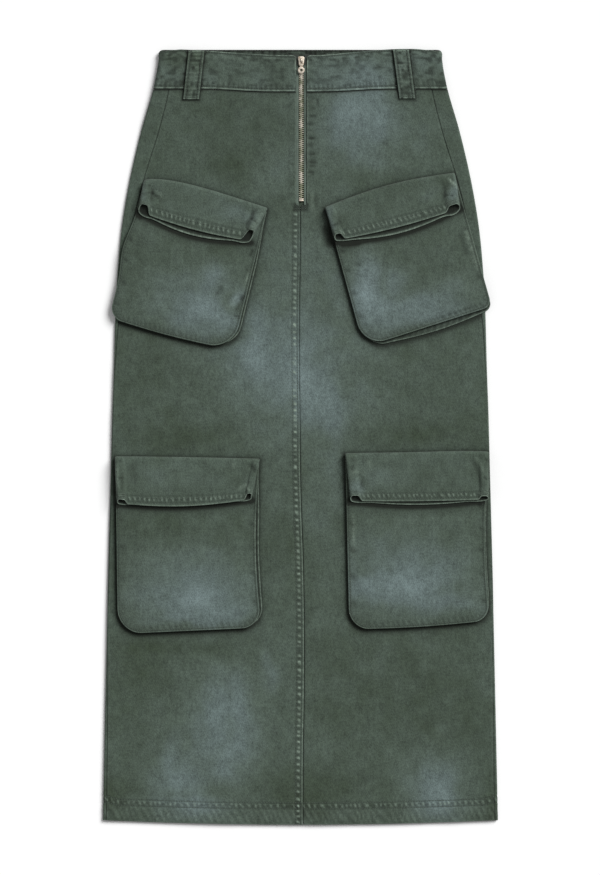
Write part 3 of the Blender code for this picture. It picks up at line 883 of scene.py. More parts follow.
# Stitches -----------------------------------------------------------------------------------------
@dataclass
class Stitching:
    """Lockstitch laid on finished pieces; each stitch is a short thread with both ends in the cloth."""

    pitch: float = 3.3 * MM
    length: float = 2.5 * MM
    radius: float = 0.32 * MM
    sides: int = 5
    verts: list = field(default_factory=list)
    quads: list = field(default_factory=list)

    def ground(self, pieces: list) -> BVHTree:
        """Collect what the stitches lie on.

        Args:
            pieces: The pieces.

        Returns:
            A tree of their meshes, to find the cloth's surface.
        """
        verts, faces = [], []
        for piece in pieces:
            start = len(verts)
            verts.extend(v.co.copy() for v in piece.data.vertices)
            faces.extend([start + i for i in p.vertices] for p in piece.data.polygons)
        return BVHTree.FromPolygons(verts, faces)

    def sew(self, tree: BVHTree, path: Array, pitch: float | None = None, above: bool = True) -> None:
        """Lay a row of stitches.

        Args:
            tree: The ground.
            path: The row's points in plan.
            pitch: The stitches' spacing, if not the usual one.
            above: Whether the row lies on the upper side.
        """
        path = np.asarray(path, float)
        lengths = run_length(path)
        pitch = pitch or self.pitch
        half = self.length / 2
        for middle in np.arange(pitch / 2, lengths[-1] - pitch / 2, pitch):
            places = middle + half * np.array([-1.0, -0.55, 0.55, 1.0])
            spots = np.stack([np.interp(places, lengths, path[:, k]) for k in (0, 1)], -1)
            self.stitch(tree, spots, 1 if above else -1)

    def stitch(self, tree: BVHTree, spots: Array, up: int) -> None:
        """Add one stitch.

        Args:
            tree: The ground.
            spots: Four places in plan.
            up: 1 on the upper side, -1 on the lower.
        """
        heights = (-0.25, 0.55, 0.55, -0.25)
        ring = []
        run = spots[-1] - spots[0]
        run = run / max(np.linalg.norm(run), 1e-9)
        for (x, y), lift in zip(spots, heights):
            hit = tree.ray_cast(Vector((x, y, up)), Vector((0, 0, -up)))[0]
            if hit is None:
                return
            radius = self.radius * (0.7 if lift < 0 else 1.0)
            for k in range(self.sides):
                angle = 2 * math.pi * k / self.sides
                side = radius * math.cos(angle)
                ring.append((x - run[1] * side, y + run[0] * side,
                             hit.z + up * (lift * self.radius + radius * 0.8 * math.sin(angle))))
        start, n = len(self.verts), self.sides
        self.verts.extend(ring)
        for i in range(3):
            for k in range(n):
                a, b = start + i * n + k, start + i * n + (k + 1) % n
                self.quads.append((a, b, b + n, a + n) if up > 0 else (a, a + n, b + n, b))

    def piece(self, name: str, wardrobe: Wardrobe) -> None:
        """Make one piece of all the stitches laid so far, and start afresh.

        Args:
            name: The piece's name.
            wardrobe: The materials.
        """
        mesh = quad_mesh(name, np.array(self.verts), np.array(self.quads))
        finish_piece(name, mesh, wardrobe[Finish.THREAD], SKIRT_BODY)
        log.info("%s: %d stitches", name, len(self.verts) // (4 * self.sides))
        self.verts, self.quads = [], []


# Panels -------------------------------------------------------------------------------------------
class LoopPlace(NamedTuple):
    """Where a belt loop lies: X and drop of its top and of its end, in millimetres."""

    node: str
    top: tuple
    end: tuple


LOOPS = (
    LoopPlace("belt_loop_front_left", (-129.7, 2.6), (-136.6, 63.1)),
    LoopPlace("belt_loop_front_right", (125.4, 1.3), (133.5, 62.1)),
    LoopPlace("belt_loop_back_left", (-118.0, 1.0), (-122.0, 62.0)),
    LoopPlace("belt_loop_back_centre", (0.0, 1.0), (0.0, 62.0)),
    LoopPlace("belt_loop_back_right", (118.0, 1.0), (122.0, 62.0)),
)
FRONT_LOOPS = LOOPS[:2]
# Minus rows are darker cloth; those just above each pocket's top, above the upper left pocket's right end and
# under the lower left pocket are painted shade.
PANEL_PATCHES = (  # rows of Patch
    (78, 395, 42, 52, 0, 0.64), (82, 391, 70, 70, 0, 0.32), (-59, 101, 32, 35, 0, 0.6),
    (-52, 124, 20, 46, 0, 0.5), (7, 66, 33, 53, 25, 0.66), (42, 38, 24, 44, 8, 0.58),
    (-9, 91, 88, 88, 0, 0.42), (1, 203, 42, 62, 0, 0.2), (48, -40, 16, 60, 0, 0.2),
    (-106, -347, 28, 60, -17, 0.54), (-72, -344, 18, 66, 4, 0.44), (-149, -428, 33, 30, 0, 0.46),
    (-142, -464, 48, 18, 0, 0.56), (-118, -372, 62, 105, 0, 0.24), (173, -434, 28, 33, 0, 0.58),
    (176, -462, 34, 20, 0, 0.62), (173, -434, 50, 52, 0, 0.3), (-30, -330, 30, 90, 0, 0.12),
    (23, -84, 25, 50, 0, 0.15), (-27, 335, 22, 32, 0, 0.18), (35, 328, 28, 38, 0, 0.18),
    (94, 47, 40, 30, 0, 0.14), (88, 444, 24, 20, 0, 0.3), (-80, 330, 28, 24, -40, -0.05),
    (-124, 341, 50, 20, 0, -0.05), (82, 322, 55, 16, 0, -0.12), (-127, 0, 66, 20, 0, -0.12),
    (154, -3, 90, 16, 0, -0.12), (13, -440, 75, 25, 0, -0.16), (-24, 432, 18, 25, 0, -0.12),
    (-149, 475, 30, 12, 0, -0.15), (-149, 435, 30, 10, 0, -0.12), (135, 438, 34, 14, 0, -0.12),
    (-237, -453, 15, 30, 0, -0.2), (241, -453, 12, 30, 0, -0.2), (-180, -325, 52, 66, 0, -0.1),
    (-190, 90, 50, 45, 0, -0.05), (170, 80, 70, 45, 0, -0.03), (130, -330, 90, 80, 0, -0.07),
    (-62, 100, 12, 24, 0, 0.5), (10, 70, 12, 40, 0, 0.4), (60, 404, 22, 30, 0, 0.4),
    (-82, -395, 34, 40, 0, 0.42), (-162, -392, 14, 34, 0, 0.38), (-38, -300, 14, 34, 0, 0.3),
    (-150, -263, 80, 16, 0, -0.16), (200, -400, 44, 44, 0, -0.12), (-187, -470, 26, 10, 0, -0.14),
    (215, -470, 24, 12, 0, -0.1), (100, 398, 22, 22, 0, -0.08), (48, 185, 12, 40, 0, 0.22),
    (-185, -290, 60, 22, 0, -0.05), (-95, -425, 28, 22, 0, 0.4), (0, 424, 30, 16, 0, 0.14),
    (-190, 40, 60, 70, 0, -0.04), (-120, 390, 50, 40, 0, -0.04), (0, -150, 34, 70, 0, -0.05),
)


@dataclass
class SewnPart:
    """What each sub-assembly is made with: the tube's form and the materials."""

    tube: SkirtTube
    wardrobe: Wardrobe

    def sheet(self, node: str, cloth: Cloth, rests_on: list, held: str = "laid",
              finish: Finish = Finish.TWILL) -> bpy.types.Object:
        """Make one cloth piece and log the size of its cut.

        Args:
            node: The construction node that it stands for.
            cloth: Its layer of cloth.
            rests_on: The nodes that it lies on; not used.
            held: How it is held; not used.
            finish: Its finish.

        Returns:
            The piece.
        """
        name = f"{node}_cloth"
        obj = finish_piece(name, cloth.mesh(name), self.wardrobe[finish], SKIRT_BODY, (node,))
        width, length, area = cloth.cut()
        log.info("%s: %.0f x %.0f mm, %d faces", name, width / MM, length / MM, len(obj.data.polygons))
        return obj


def loop_shadow(tube: SkirtTube, x: Array, y: Array) -> Array:
    """The painted shadow on the cloth close round the two belt loops in front.

    Args:
        tube: The tube.
        x, y: Places in plan.

    Returns:
        The shade.
    """
    shade = 0.0
    for _, top, end in FRONT_LOOPS:
        corners = [(spot[0] + side, spot[1]) for spot, side in ((top, -10), (end, -10), (end, 10), (top, 10))]
        path = [(a * MM, float(tube.y(d * MM))) for a, d in corners]
        near, _ = distance_to_path(x + 0.3 * MM, y + 0.6 * MM, path)
        shade = shade + 0.8 * ridge(near, 0, 1.8) + 0.2 * ridge(near, 0, 5)
    return shade


@dataclass
class FrontPanel(SewnPart):
    """A front panel, from the zip opening and the lapped centre seam to the side seam."""

    side: int
    pockets: list
    lap_seam: TwinSeam = TwinSeam(Puckers(7.6 * MM, 37, slant=0.1), rise=0.55 * MM, ripple=0.1 * MM)
    lap_rows: float = 5.8 * MM
    wide: float = 235 * MM
    creases: tuple = (  # rows of Crease
        (((9, 424), (20, 423)), -0.6, 1.4, 0.3), (((21, 424), (22, 411)), -0.7, 1.4, 0.3),
        (((9, 412), (20, 411)), -0.6, 1.4, 0.3), (((9, 418), (18, 418)), 0.5, 1.8, 0.1),
        (((9, 402), (21, 401)), -0.6, 1.4, 0.25), (((9, 390), (17, 389)), -0.6, 1.3, 0.25),
        (((9, 374), (19, 373)), -0.6, 1.4, 0.25), (((9, 365), (16, 364)), -0.5, 1.3, 0.2),
        (((10, 353), (20, 354)), -0.7, 2.0, 0.25), (((11, 345), (21, 343)), -0.8, 2.6, 0.2),
        (((10, 338), (19, 339)), -0.6, 1.8, 0.2), (((9, 331), (19, 330)), -0.5, 1.4, 0.2),
        (((13, 312), (15, 276)), 0.6, 2.6), (((19, 308), (19, 282)), -0.5, 2.4),
        (((-7, 385), (-14, 384)), -0.4, 1.6, 0.05), (((-7, 341), (-14, 341)), -0.4, 1.6, 0.05),
        (((-7, 316), (-14, 315)), -0.4, 1.6, 0.1), (((-9, 416), (-20, 411)), -0.4, 2.2, 0.05),
        # The wide trough from (27, 268) to (40, 232), left of the upper right pocket, stands mostly for that
        # pocket's shadow: painted shade.
        (((27, 268), (34, 249), (40, 232)), -0.5, 5.5, 0.42), (((-210, 430), (-178, 422)), -0.3, 5.0, -0.1),
    )

    def drops(self) -> Array:
        """Return the rows' drops, before they bend to the band seam and the hem."""
        t = self.tube
        top, low = t.band_depth[0] + 1.5 * t.seam, t.length - t.hem_rise
        jog = np.arange(t.opening_end + 0.5 * MM, t.opening_end + 3.2 * MM, 0.5 * MM)
        upper = top + steps(edge_then(7 * MM, 1.5 * MM), t.opening_end - top, 2.5 * MM, [0.0])
        lower = jog[-1] + steps([0.0], low - jog[-1], 2.5 * MM, edge_then(42 * MM, 1.25 * MM))
        return np.concatenate([upper, jog[:-1], lower])

    def edges(self, drop: Array) -> tuple[Array, Array]:
        """The panel's edges.

        Args:
            drop: Distances below the waist edge.

        Returns:
            X of the inner and of the outer edge.
        """
        t = self.tube
        opening = t.opening[0] if self.side < 0 else t.opening[1]
        inner = mix(opening, t.centre_seam(drop) + self.side * t.seam / 2,
                    smooth(drop, t.opening_end, t.opening_end + 3 * MM))
        outer = t.fold(self.side, t.round_front(drop) + t.seam / 6, drop, t.cloth)[..., 0]
        return inner, outer

    def grid(self) -> tuple[Array, Array, Array, Array]:
        """Lay out the panel.

        Returns:
            X, drop, and the distances from the inner and the outer edge.
        """
        t = self.tube
        nominal = self.drops()[:, None]
        near, far = 13 * MM, 7 * MM
        place = steps(edge_then(near, 1.1 * MM), self.wide, 2.6 * MM, edge_then(far, 1.5 * MM))[None, :]
        middle = (place > near) & (place < self.wide - far)
        top, low = t.band_depth[0], t.length - t.hem_rise
        drop = np.broadcast_to(nominal, (nominal.size, place.size))
        for _ in range(3):
            inner, outer = self.edges(drop)
            width = np.abs(outer - inner)
            stretched = near + (place - near) * (width - near - far) / (self.wide - near - far)
            inset = np.where(middle, stretched, np.where(place <= near, place, width - self.wide + place))
            x = inner + self.side * inset
            drop = (nominal + (t.band_seam(x) - top) * (1 - smooth(nominal, top, top + 60 * MM))
                    + (t.hem(x) - low) * smooth(nominal, low - 90 * MM, low))
        return x, drop, inset, width - inset

    def make(self) -> bpy.types.Object:
        """Build the panel.

        Returns:
            The piece.
        """
        t = self.tube
        x, drop, inset, outset = self.grid()
        if self.side < 0:
            x, drop, inset, outset = (a[:, ::-1] for a in (x, drop, inset, outset))
        y = t.y(drop)
        free = ramp(drop, 62, 90)
        for pocket in self.pockets:
            free = free * pocket.clear_of(x, y)
        wave = 0.55 * uneven(64, 11 + self.side, x, y) + 0.3 * uneven(27, 15, x, y)
        wave = wave + 0.12 * uneven(11, 16, x, y)
        relief = Relief(wave * MM * free)
        relief += creased(x, y, self.creases)
        relief += Hem(t).on(x, drop)
        under_band = drop - t.band_seam(x)
        # Painted shadow under the waistband's edge, where the cloth also dips.
        relief += Relief(-0.5 * MM * ridge(under_band, 0, 1.6), 0.0,
                         ridge(under_band, 0, 2.0) + 0.16 * ridge(under_band, 0, 5))
        # Painted shadow round the front belt loops.
        relief += Relief(shade=loop_shadow(t, x, y))
        tack = ramp(np.abs(drop - t.opening_end - 4 * MM), 6.2, 4.0)
        tack = tack * ramp(np.abs(x - 1 * MM + 0.2 * (drop - t.opening_end)), 11, 7.5)
        relief += Relief(-0.3 * MM * tack, 0.0, 0.8 * tack)
        # Painted shadow round each pocket.
        relief += Relief(shade=sum(pocket.contact_shadow(x, y) for pocket in self.pockets))
        relief += seam_edge(outset, 0.2, Puckers(17 * MM, 41))
        wash = washed(x, y, PANEL_PATCHES)
        pale = 1 - 0.8 * smooth(wash, 0.2, 0.5)
        if self.side < 0:
            below = smooth(drop, t.opening_end + 7 * MM, t.opening_end + 13 * MM)
            lap = self.lap_seam.on(drop, inset - self.lap_rows) * below
            lap.shade = lap.shade * pale
            relief += lap
            rubbed = 0.4 * ridge(inset, 0.9, 0.7) * ramp(drop, 460, 520)
            relief += Relief(0.25 * MM * ridge(inset, 1.0, 0.9), rubbed,
                             0.1 * ridge(inset, 10.5, 1.2)) * below
            beside = 1 - smooth(drop, t.opening_end - 6 * MM, t.opening_end)
            relief += Relief(0.2 * MM * ridge(inset, 1.2, 1.0), 0.12 * ridge(inset, 0.9, 0.9),
                             0.2 * ridge(inset, 8.5, 0.8)) * beside
        else:
            below = smooth(drop, t.opening_end, t.opening_end + 6 * MM)
            # Painted shade along the right panel's edge where it meets the lap, less where the cloth is
            # washed pale.
            joined = 0.8 * ridge(inset, 0, 0.9) * pale
            relief += Relief(-0.45 * MM * ridge(inset, 0, 1.1), 0.0, joined) * below
            fly = Puckers(9.5 * MM, 43, sharp=3).at(drop, inset) * ridge(inset, 5, 4.5)
            some = smooth(uneven(21, 44, drop, 0 * x), -0.5, 0.3)
            fly = fly * (1 - ramp(drop, 150, 190)) * some
            relief += Relief(-0.3 * MM * fly, 0.0, 0.5 * fly)
            relief += Relief(worn=0.3 * ridge(inset, 0.5, 0.7) * (1 - below))
        points = np.stack([x, y, t.front_z(x, drop)], -1)
        node = "front_left" if self.side < 0 else "front_right"
        return self.sheet(node, Cloth(points, relief, wash, t.cloth), ["back"])


@dataclass(frozen=True)
class Hem:
    """The hem: two rows of stitching and soft ripples down to a rubbed edge."""

    tube: SkirtTube
    seam: TwinSeam = TwinSeam(Puckers(7.0 * MM, 31, slant=0.35), gauge=7.6 * MM, ripple=0.3 * MM)
    rows: float = 23.5 * MM  # their middle, above the edge
    ripples: Puckers = Puckers(8.4 * MM, 47, slant=0.5, sharp=1.2)

    def on(self, x: Array, drop: Array) -> Relief:
        """The hem's relief.

        Args:
            x: Places across.
            drop: Distances below the waist edge.

        Returns:
            The relief.
        """
        above = self.tube.hem(x) - drop
        corner = self.tube.half_width(drop) - np.abs(x)
        relief = self.seam.on(x, above - self.rows - 3 * MM * ramp(corner, 20, 4))
        relief.worn = 0.45 * relief.worn
        ripples = self.ripples.at(x, above)
        inside = ramp(above, 0, 3) * smooth(above, self.rows - 3 * MM, self.rows - 9 * MM)
        relief += Relief(0.4 * MM * (ripples - 0.4), 0.16 * ripples, 0.2 * (1 - ripples)) * inside
        relief += Relief(worn=0.1 * ridge(above, 0.6, 0.9), shade=0.12 * ridge(above, 2.6, 1.1))
        return relief


def seam_edge(inset: Array, depth: float, notches: Puckers) -> Relief:
    """A cut edge turned in at a plain seam: it rolls down, with a rubbed ridge, painted shade in the roll and
    a few notches by it darkened with painted shade.

    Args:
        inset: Distances from the edge.
        depth: How far it rolls down, in millimetres.
        notches: Where the notches are.

    Returns:
        The relief.
    """
    notch = notches.at(np.broadcast_to(np.arange(inset.shape[0])[:, None] * 2.5 * MM, inset.shape), 0.0) ** 3
    roll = ridge(inset, 0, 1.1)
    band = ridge(inset, 4, 2.4)
    return Relief(-depth * MM * roll - 0.2 * MM * notch * band, 0.06 * ridge(inset, 1.7, 0.9),
                  0.5 * ridge(inset, 0, 0.7) + 0.25 * notch * band)


@dataclass
class BackPanel(SewnPart):
    """The back: flat behind, with both edges brought round the side folds to the side seams."""

    def make(self) -> bpy.types.Object:
        """Build the back.

        Returns:
            The piece.
        """
        t = self.tube
        top, low = t.band_depth[0] + 1.5 * t.seam, t.hem(t.sections[-1][1])
        rows = steps(edge_then(6 * MM, 2 * MM), low - top, 5.5 * MM, edge_then(38 * MM, 1.6 * MM))
        drop = (top + rows)[:, None]
        quarter = t.radius(drop) * np.pi / 2
        start = t.round_front(drop) - t.seam / 6
        width = 2 * (t.half_width(drop) - t.cloth / 2 - t.radius(drop))
        returned = mix(start, quarter, np.array([0, 0.03, 0.08, 0.15, 0.25, 0.4, 0.55, 0.7, 0.85])[None, :])
        round_it = mix(quarter, -quarter, np.linspace(0, 1, 11)[None, :])
        behind = -quarter - width * np.linspace(0, 1, 84)[None, 1:-1]
        right = t.fold(1, np.concatenate([returned, round_it, behind], 1), drop, t.cloth)
        left = t.fold(-1, np.concatenate([returned, round_it], 1)[:, ::-1], drop, t.cloth)
        points = np.concatenate([right, left], 1)
        x, z = points[..., 0], points[..., 2]
        drops = np.broadcast_to(drop, x.shape)
        inset = np.concatenate([start - returned, np.full((drop.size, 11), 1.0)], 1)
        inset = np.concatenate([inset, np.full((drop.size, 82), 1.0), inset[:, ::-1]], 1)
        relief = Hem(t).on(x, drops)
        under = z < t.front_level * 0.6
        relief.height = np.where(under, np.minimum(relief.height, 0.0), relief.height)
        relief += seam_edge(inset, 0.2, Puckers(19 * MM, 53))
        fold_edge = np.where((z > 1.2 * MM) & (z < 3.9 * MM), 0.12, 0.0)
        # Painted shadow under the waistband's edge; the folds' edges get a little rubbed light.
        relief += Relief(0.0, fold_edge, hill(drops - top, 2.0 * MM) + 0.16 * hill(drops - top, 5 * MM))
        wash = np.where(under, 0.12 + 0.15 * uneven(90, 21, x, points[..., 1]),
                        washed(x, points[..., 1], PANEL_PATCHES))
        return self.sheet("back", Cloth(points, relief, wash, t.cloth), [])


@dataclass
class Waistband(SewnPart):
    """One doubled strip from the zip round both side folds and back to the zip."""

    strip: float = 0.05  # its depth
    thickness: float = 2.2 * MM
    corner: float = 4.0 * MM
    rounding: float = 0.8 * MM
    ripples: Puckers = Puckers(6.0 * MM, 61, sharp=1.3)

    def front(self, side: int, share: Array) -> Array:
        """The front half of one side.

        Args:
            side: -1 is the viewer's left, 1 the right.
            share: Places down the band, from 0 to 1, as a column.

        Returns:
            The points from the zip to the side fold.
        """
        t = self.tube
        opening = t.opening[0] if side < 0 else t.opening[1]
        guess = np.maximum(share * t.band_depth[0], self.rounding)
        quarter = t.radius(guess) * np.pi / 2
        end = np.abs(t.fold(side, quarter, guess, self.thickness)[..., 0])
        inset = np.array([0, 0.2, 0.5, 0.9, 1.5, 2.3, 3.1, 4.0]) * MM
        start = side * opening
        along = np.linspace(0, 1, 84)[None, 1:-1]
        away = np.concatenate([np.broadcast_to(start + inset, (share.size, 8)),
                               mix(start + inset[-1], end, along)], 1)
        x = side * away
        curve = np.clip(self.corner - (away - start), 0, None)
        cut = self.corner - np.sqrt(self.corner**2 - curve**2)
        near_fold = 1.5 * MM * ramp(end - away, 30, 8) + 1.5 * MM * ramp(end - away, 9, 0)
        drop = mix(np.maximum(t.band_top(x) + cut, near_fold), t.band_seam(x), share)
        front = np.stack([x, t.y(drop), t.front_z(x, drop)], -1)
        turn = np.linspace(0, 1, 11)[None, :]
        turned = np.maximum(share * t.band_depth[0], mix(3.0 * MM, self.rounding, smooth(turn, 0.3, 1.0)))
        rounded = t.fold(side, t.radius(turned) * np.pi / 2 * (1 - 2 * turn), turned, self.thickness)
        return np.concatenate([front, rounded], 1)

    def make(self) -> bpy.types.Object:
        """Build the band.

        Returns:
            The piece.
        """
        t = self.tube
        rows = steps(edge_then(6 * MM, 1.2 * MM), self.strip, 1.6 * MM, edge_then(9 * MM, 1.2 * MM))
        share = (rows / self.strip)[:, None]
        right, left = (self.front(side, share) for side in (1, -1))
        across = np.linspace(0, 1, 122)[None, 1:-1, None]
        behind = mix(right[:, -1:], left[:, -1:], across)
        points = np.concatenate([right, behind, left[:, ::-1]], 1)
        x, y = points[..., 0], points[..., 1]
        depth = self.strip * np.broadcast_to(share, x.shape)
        above = self.strip - depth
        ring = np.broadcast_to(run_length(points[20])[None, :], x.shape)
        front = points[..., 2] > t.front_level
        ridges = self.ripples.at(ring, depth)
        blots = np.clip(uneven(5.2, 63, ring, depth * 1.5) + 0.2, 0, 1)
        mottles = np.clip(uneven(6.5, 66, ring, depth * 1.7) + 0.05, 0, 1)
        at_ends = 1 + 0.7 * ramp(np.abs(x), 120, 165)
        low = ridge(above, 6.0, 4.2)
        high = ridge(depth, 5.5, 3.8)
        height = (0.5 * MM * (ridges - 0.45) * low + 0.3 * MM * uneven(7, 64, ring, depth) * high
                  - 0.3 * MM * ridge(depth, 1.9, 0.8) - 0.3 * MM * ridge(above, 2.2, 0.8)
                  + 0.35 * MM * uneven(26, 65, ring, depth))
        rubbed = 0.55 + 0.6 * uneven(34, 67, ring, depth) + ramp(np.abs(x), 70, 20)
        rubbed = np.clip(rubbed, 0.15, 1)
        worn = (0.85 * rubbed * ridge(depth, 0.3, 0.6) + 0.55 * ridge(above, 1.3, 0.8)
                + 0.14 * ridges * low + 0.12 * (1 - blots) * high)
        at_zip = np.minimum(np.abs(x - t.opening[0]), np.abs(x - t.opening[1]))
        worn = worn + 0.8 * ridge(at_zip, 0.6, 0.7) * ramp(depth, 30, 10) * front
        # Painted shade in the grooves under the top edge and over the seam, in the ripples' troughs and round
        # the loops, with dark blots and mottles.
        shade = (0.7 * ridge(depth, 2.1, 0.9) + 0.55 * ridge(above, 4.0, 0.8) * (1.3 - 0.6 * ridges)
                 + 0.7 * blots * high * at_ends + 0.45 * (1 - ridges) ** 2 * low + 0.5 * mottles * at_ends)
        shade = np.minimum(shade, 0.6) + loop_shadow(t, x, y)
        height = np.where(front, height, np.minimum(height, 0.0) * 0.5)
        wash = np.where(front, washed(x, y, PANEL_PATCHES) + 0.1, 0.2)
        # Painted shade on the back's inner face, which shows above the front's dip.
        inside = np.where(points[..., 2] < t.front_level, 0.1 + 0.4 * (1 - ridges), 0.0)
        cloth = Cloth(points, Relief(height, worn, shade), wash, self.thickness, inside=inside)
        return self.sheet("waistband", cloth, ["front_left", "front_right"], "folded")


@dataclass
class BeltLoop(SewnPart):
    """A belt loop over the waistband: a folded strip with a ridge along each edge, sewn down at both ends."""

    node: str
    top: tuple
    end: tuple
    front: bool
    width: float = 20 * MM
    bows: tuple = ((0.0, 0.0), (0.2, 0.7), (0.45, 1.0), (0.68, 0.5), (0.8, -0.1), (1.0, -0.5))

    def make(self) -> bpy.types.Object:
        """Build the loop.

        Returns:
            The piece.
        """
        t = self.tube
        length = (self.end[1] - self.top[1]) * MM
        rows = steps(edge_then(8 * MM, 1.1 * MM), length, 1.4 * MM, edge_then(8 * MM, 1.1 * MM))[:, None]
        share = rows / length
        edges = edge_then(4 * MM, 1.0 * MM)
        across = steps(edges, self.width, 1.1 * MM, edges)[None, :]
        x = mix(self.top[0], self.end[0], share) * MM + across - self.width / 2
        drop = mix(self.top[1], self.end[1], share) * MM + 0 * across
        if self.front:
            lift = fair_curve(share, self.bows) * MM
            z = t.front_z(x, drop) + 1.1 * MM + t.seam + t.cloth / 2 + lift
        else:
            z = np.full(x.shape, t.cloth / 2)
        edge = np.minimum(across, self.width - across) + 0 * rows
        seed = 71 + len(self.node)
        blot = np.clip(uneven(4.2, seed, across, rows) + 0.1, 0, 1)
        pinch = Puckers(5.2 * MM, seed + 1, sharp=1.4).at(rows + 0 * across, across)
        inside = ramp(edge, 2.5, 5)
        beside = ridge(edge, 3.6, 1.5)
        end = np.minimum(rows, length - rows) + 0 * across
        height = (0.25 * MM * ridge(edge, 1.6, 1.0) - 0.3 * MM * ridge(edge, 3.0, 0.7)
                  + 0.3 * MM * (pinch - 0.5) * (beside + 0.4 * inside) - 0.35 * MM * blot * inside)
        worn = ((0.12 + 0.3 * pinch) * ridge(edge, 1.1, 0.7) + 0.5 * ridge(end, 0.6, 0.7)
                + 0.25 * pinch * (1 - blot) * inside)
        # Painted shade in the grooves, between the puckers and along the edges, with dark blots.
        shade = (0.5 * ridge(edge, 3.0, 0.8) + 0.8 * blot * inside + 0.4 * (1 - pinch) * beside
                 + 0.5 * ridge(edge, 0, 0.4))
        height = height * ramp(length - rows, 0, 6) if self.front else np.minimum(-height, 0.0)
        points = np.stack([x, t.y(drop), z], -1)
        wash = washed(x, t.y(drop), PANEL_PATCHES) + 0.04
        if not self.front:
            points = points[:, ::-1]
            height, worn, shade, wash = (a[:, ::-1] for a in (height, worn, shade, wash))
        rests = ["waistband", "front_left" if x.mean() < 0 else "front_right"] if self.front else []
        return self.sheet(self.node, Cloth(points, Relief(height, worn, shade), wash, t.cloth), rests)


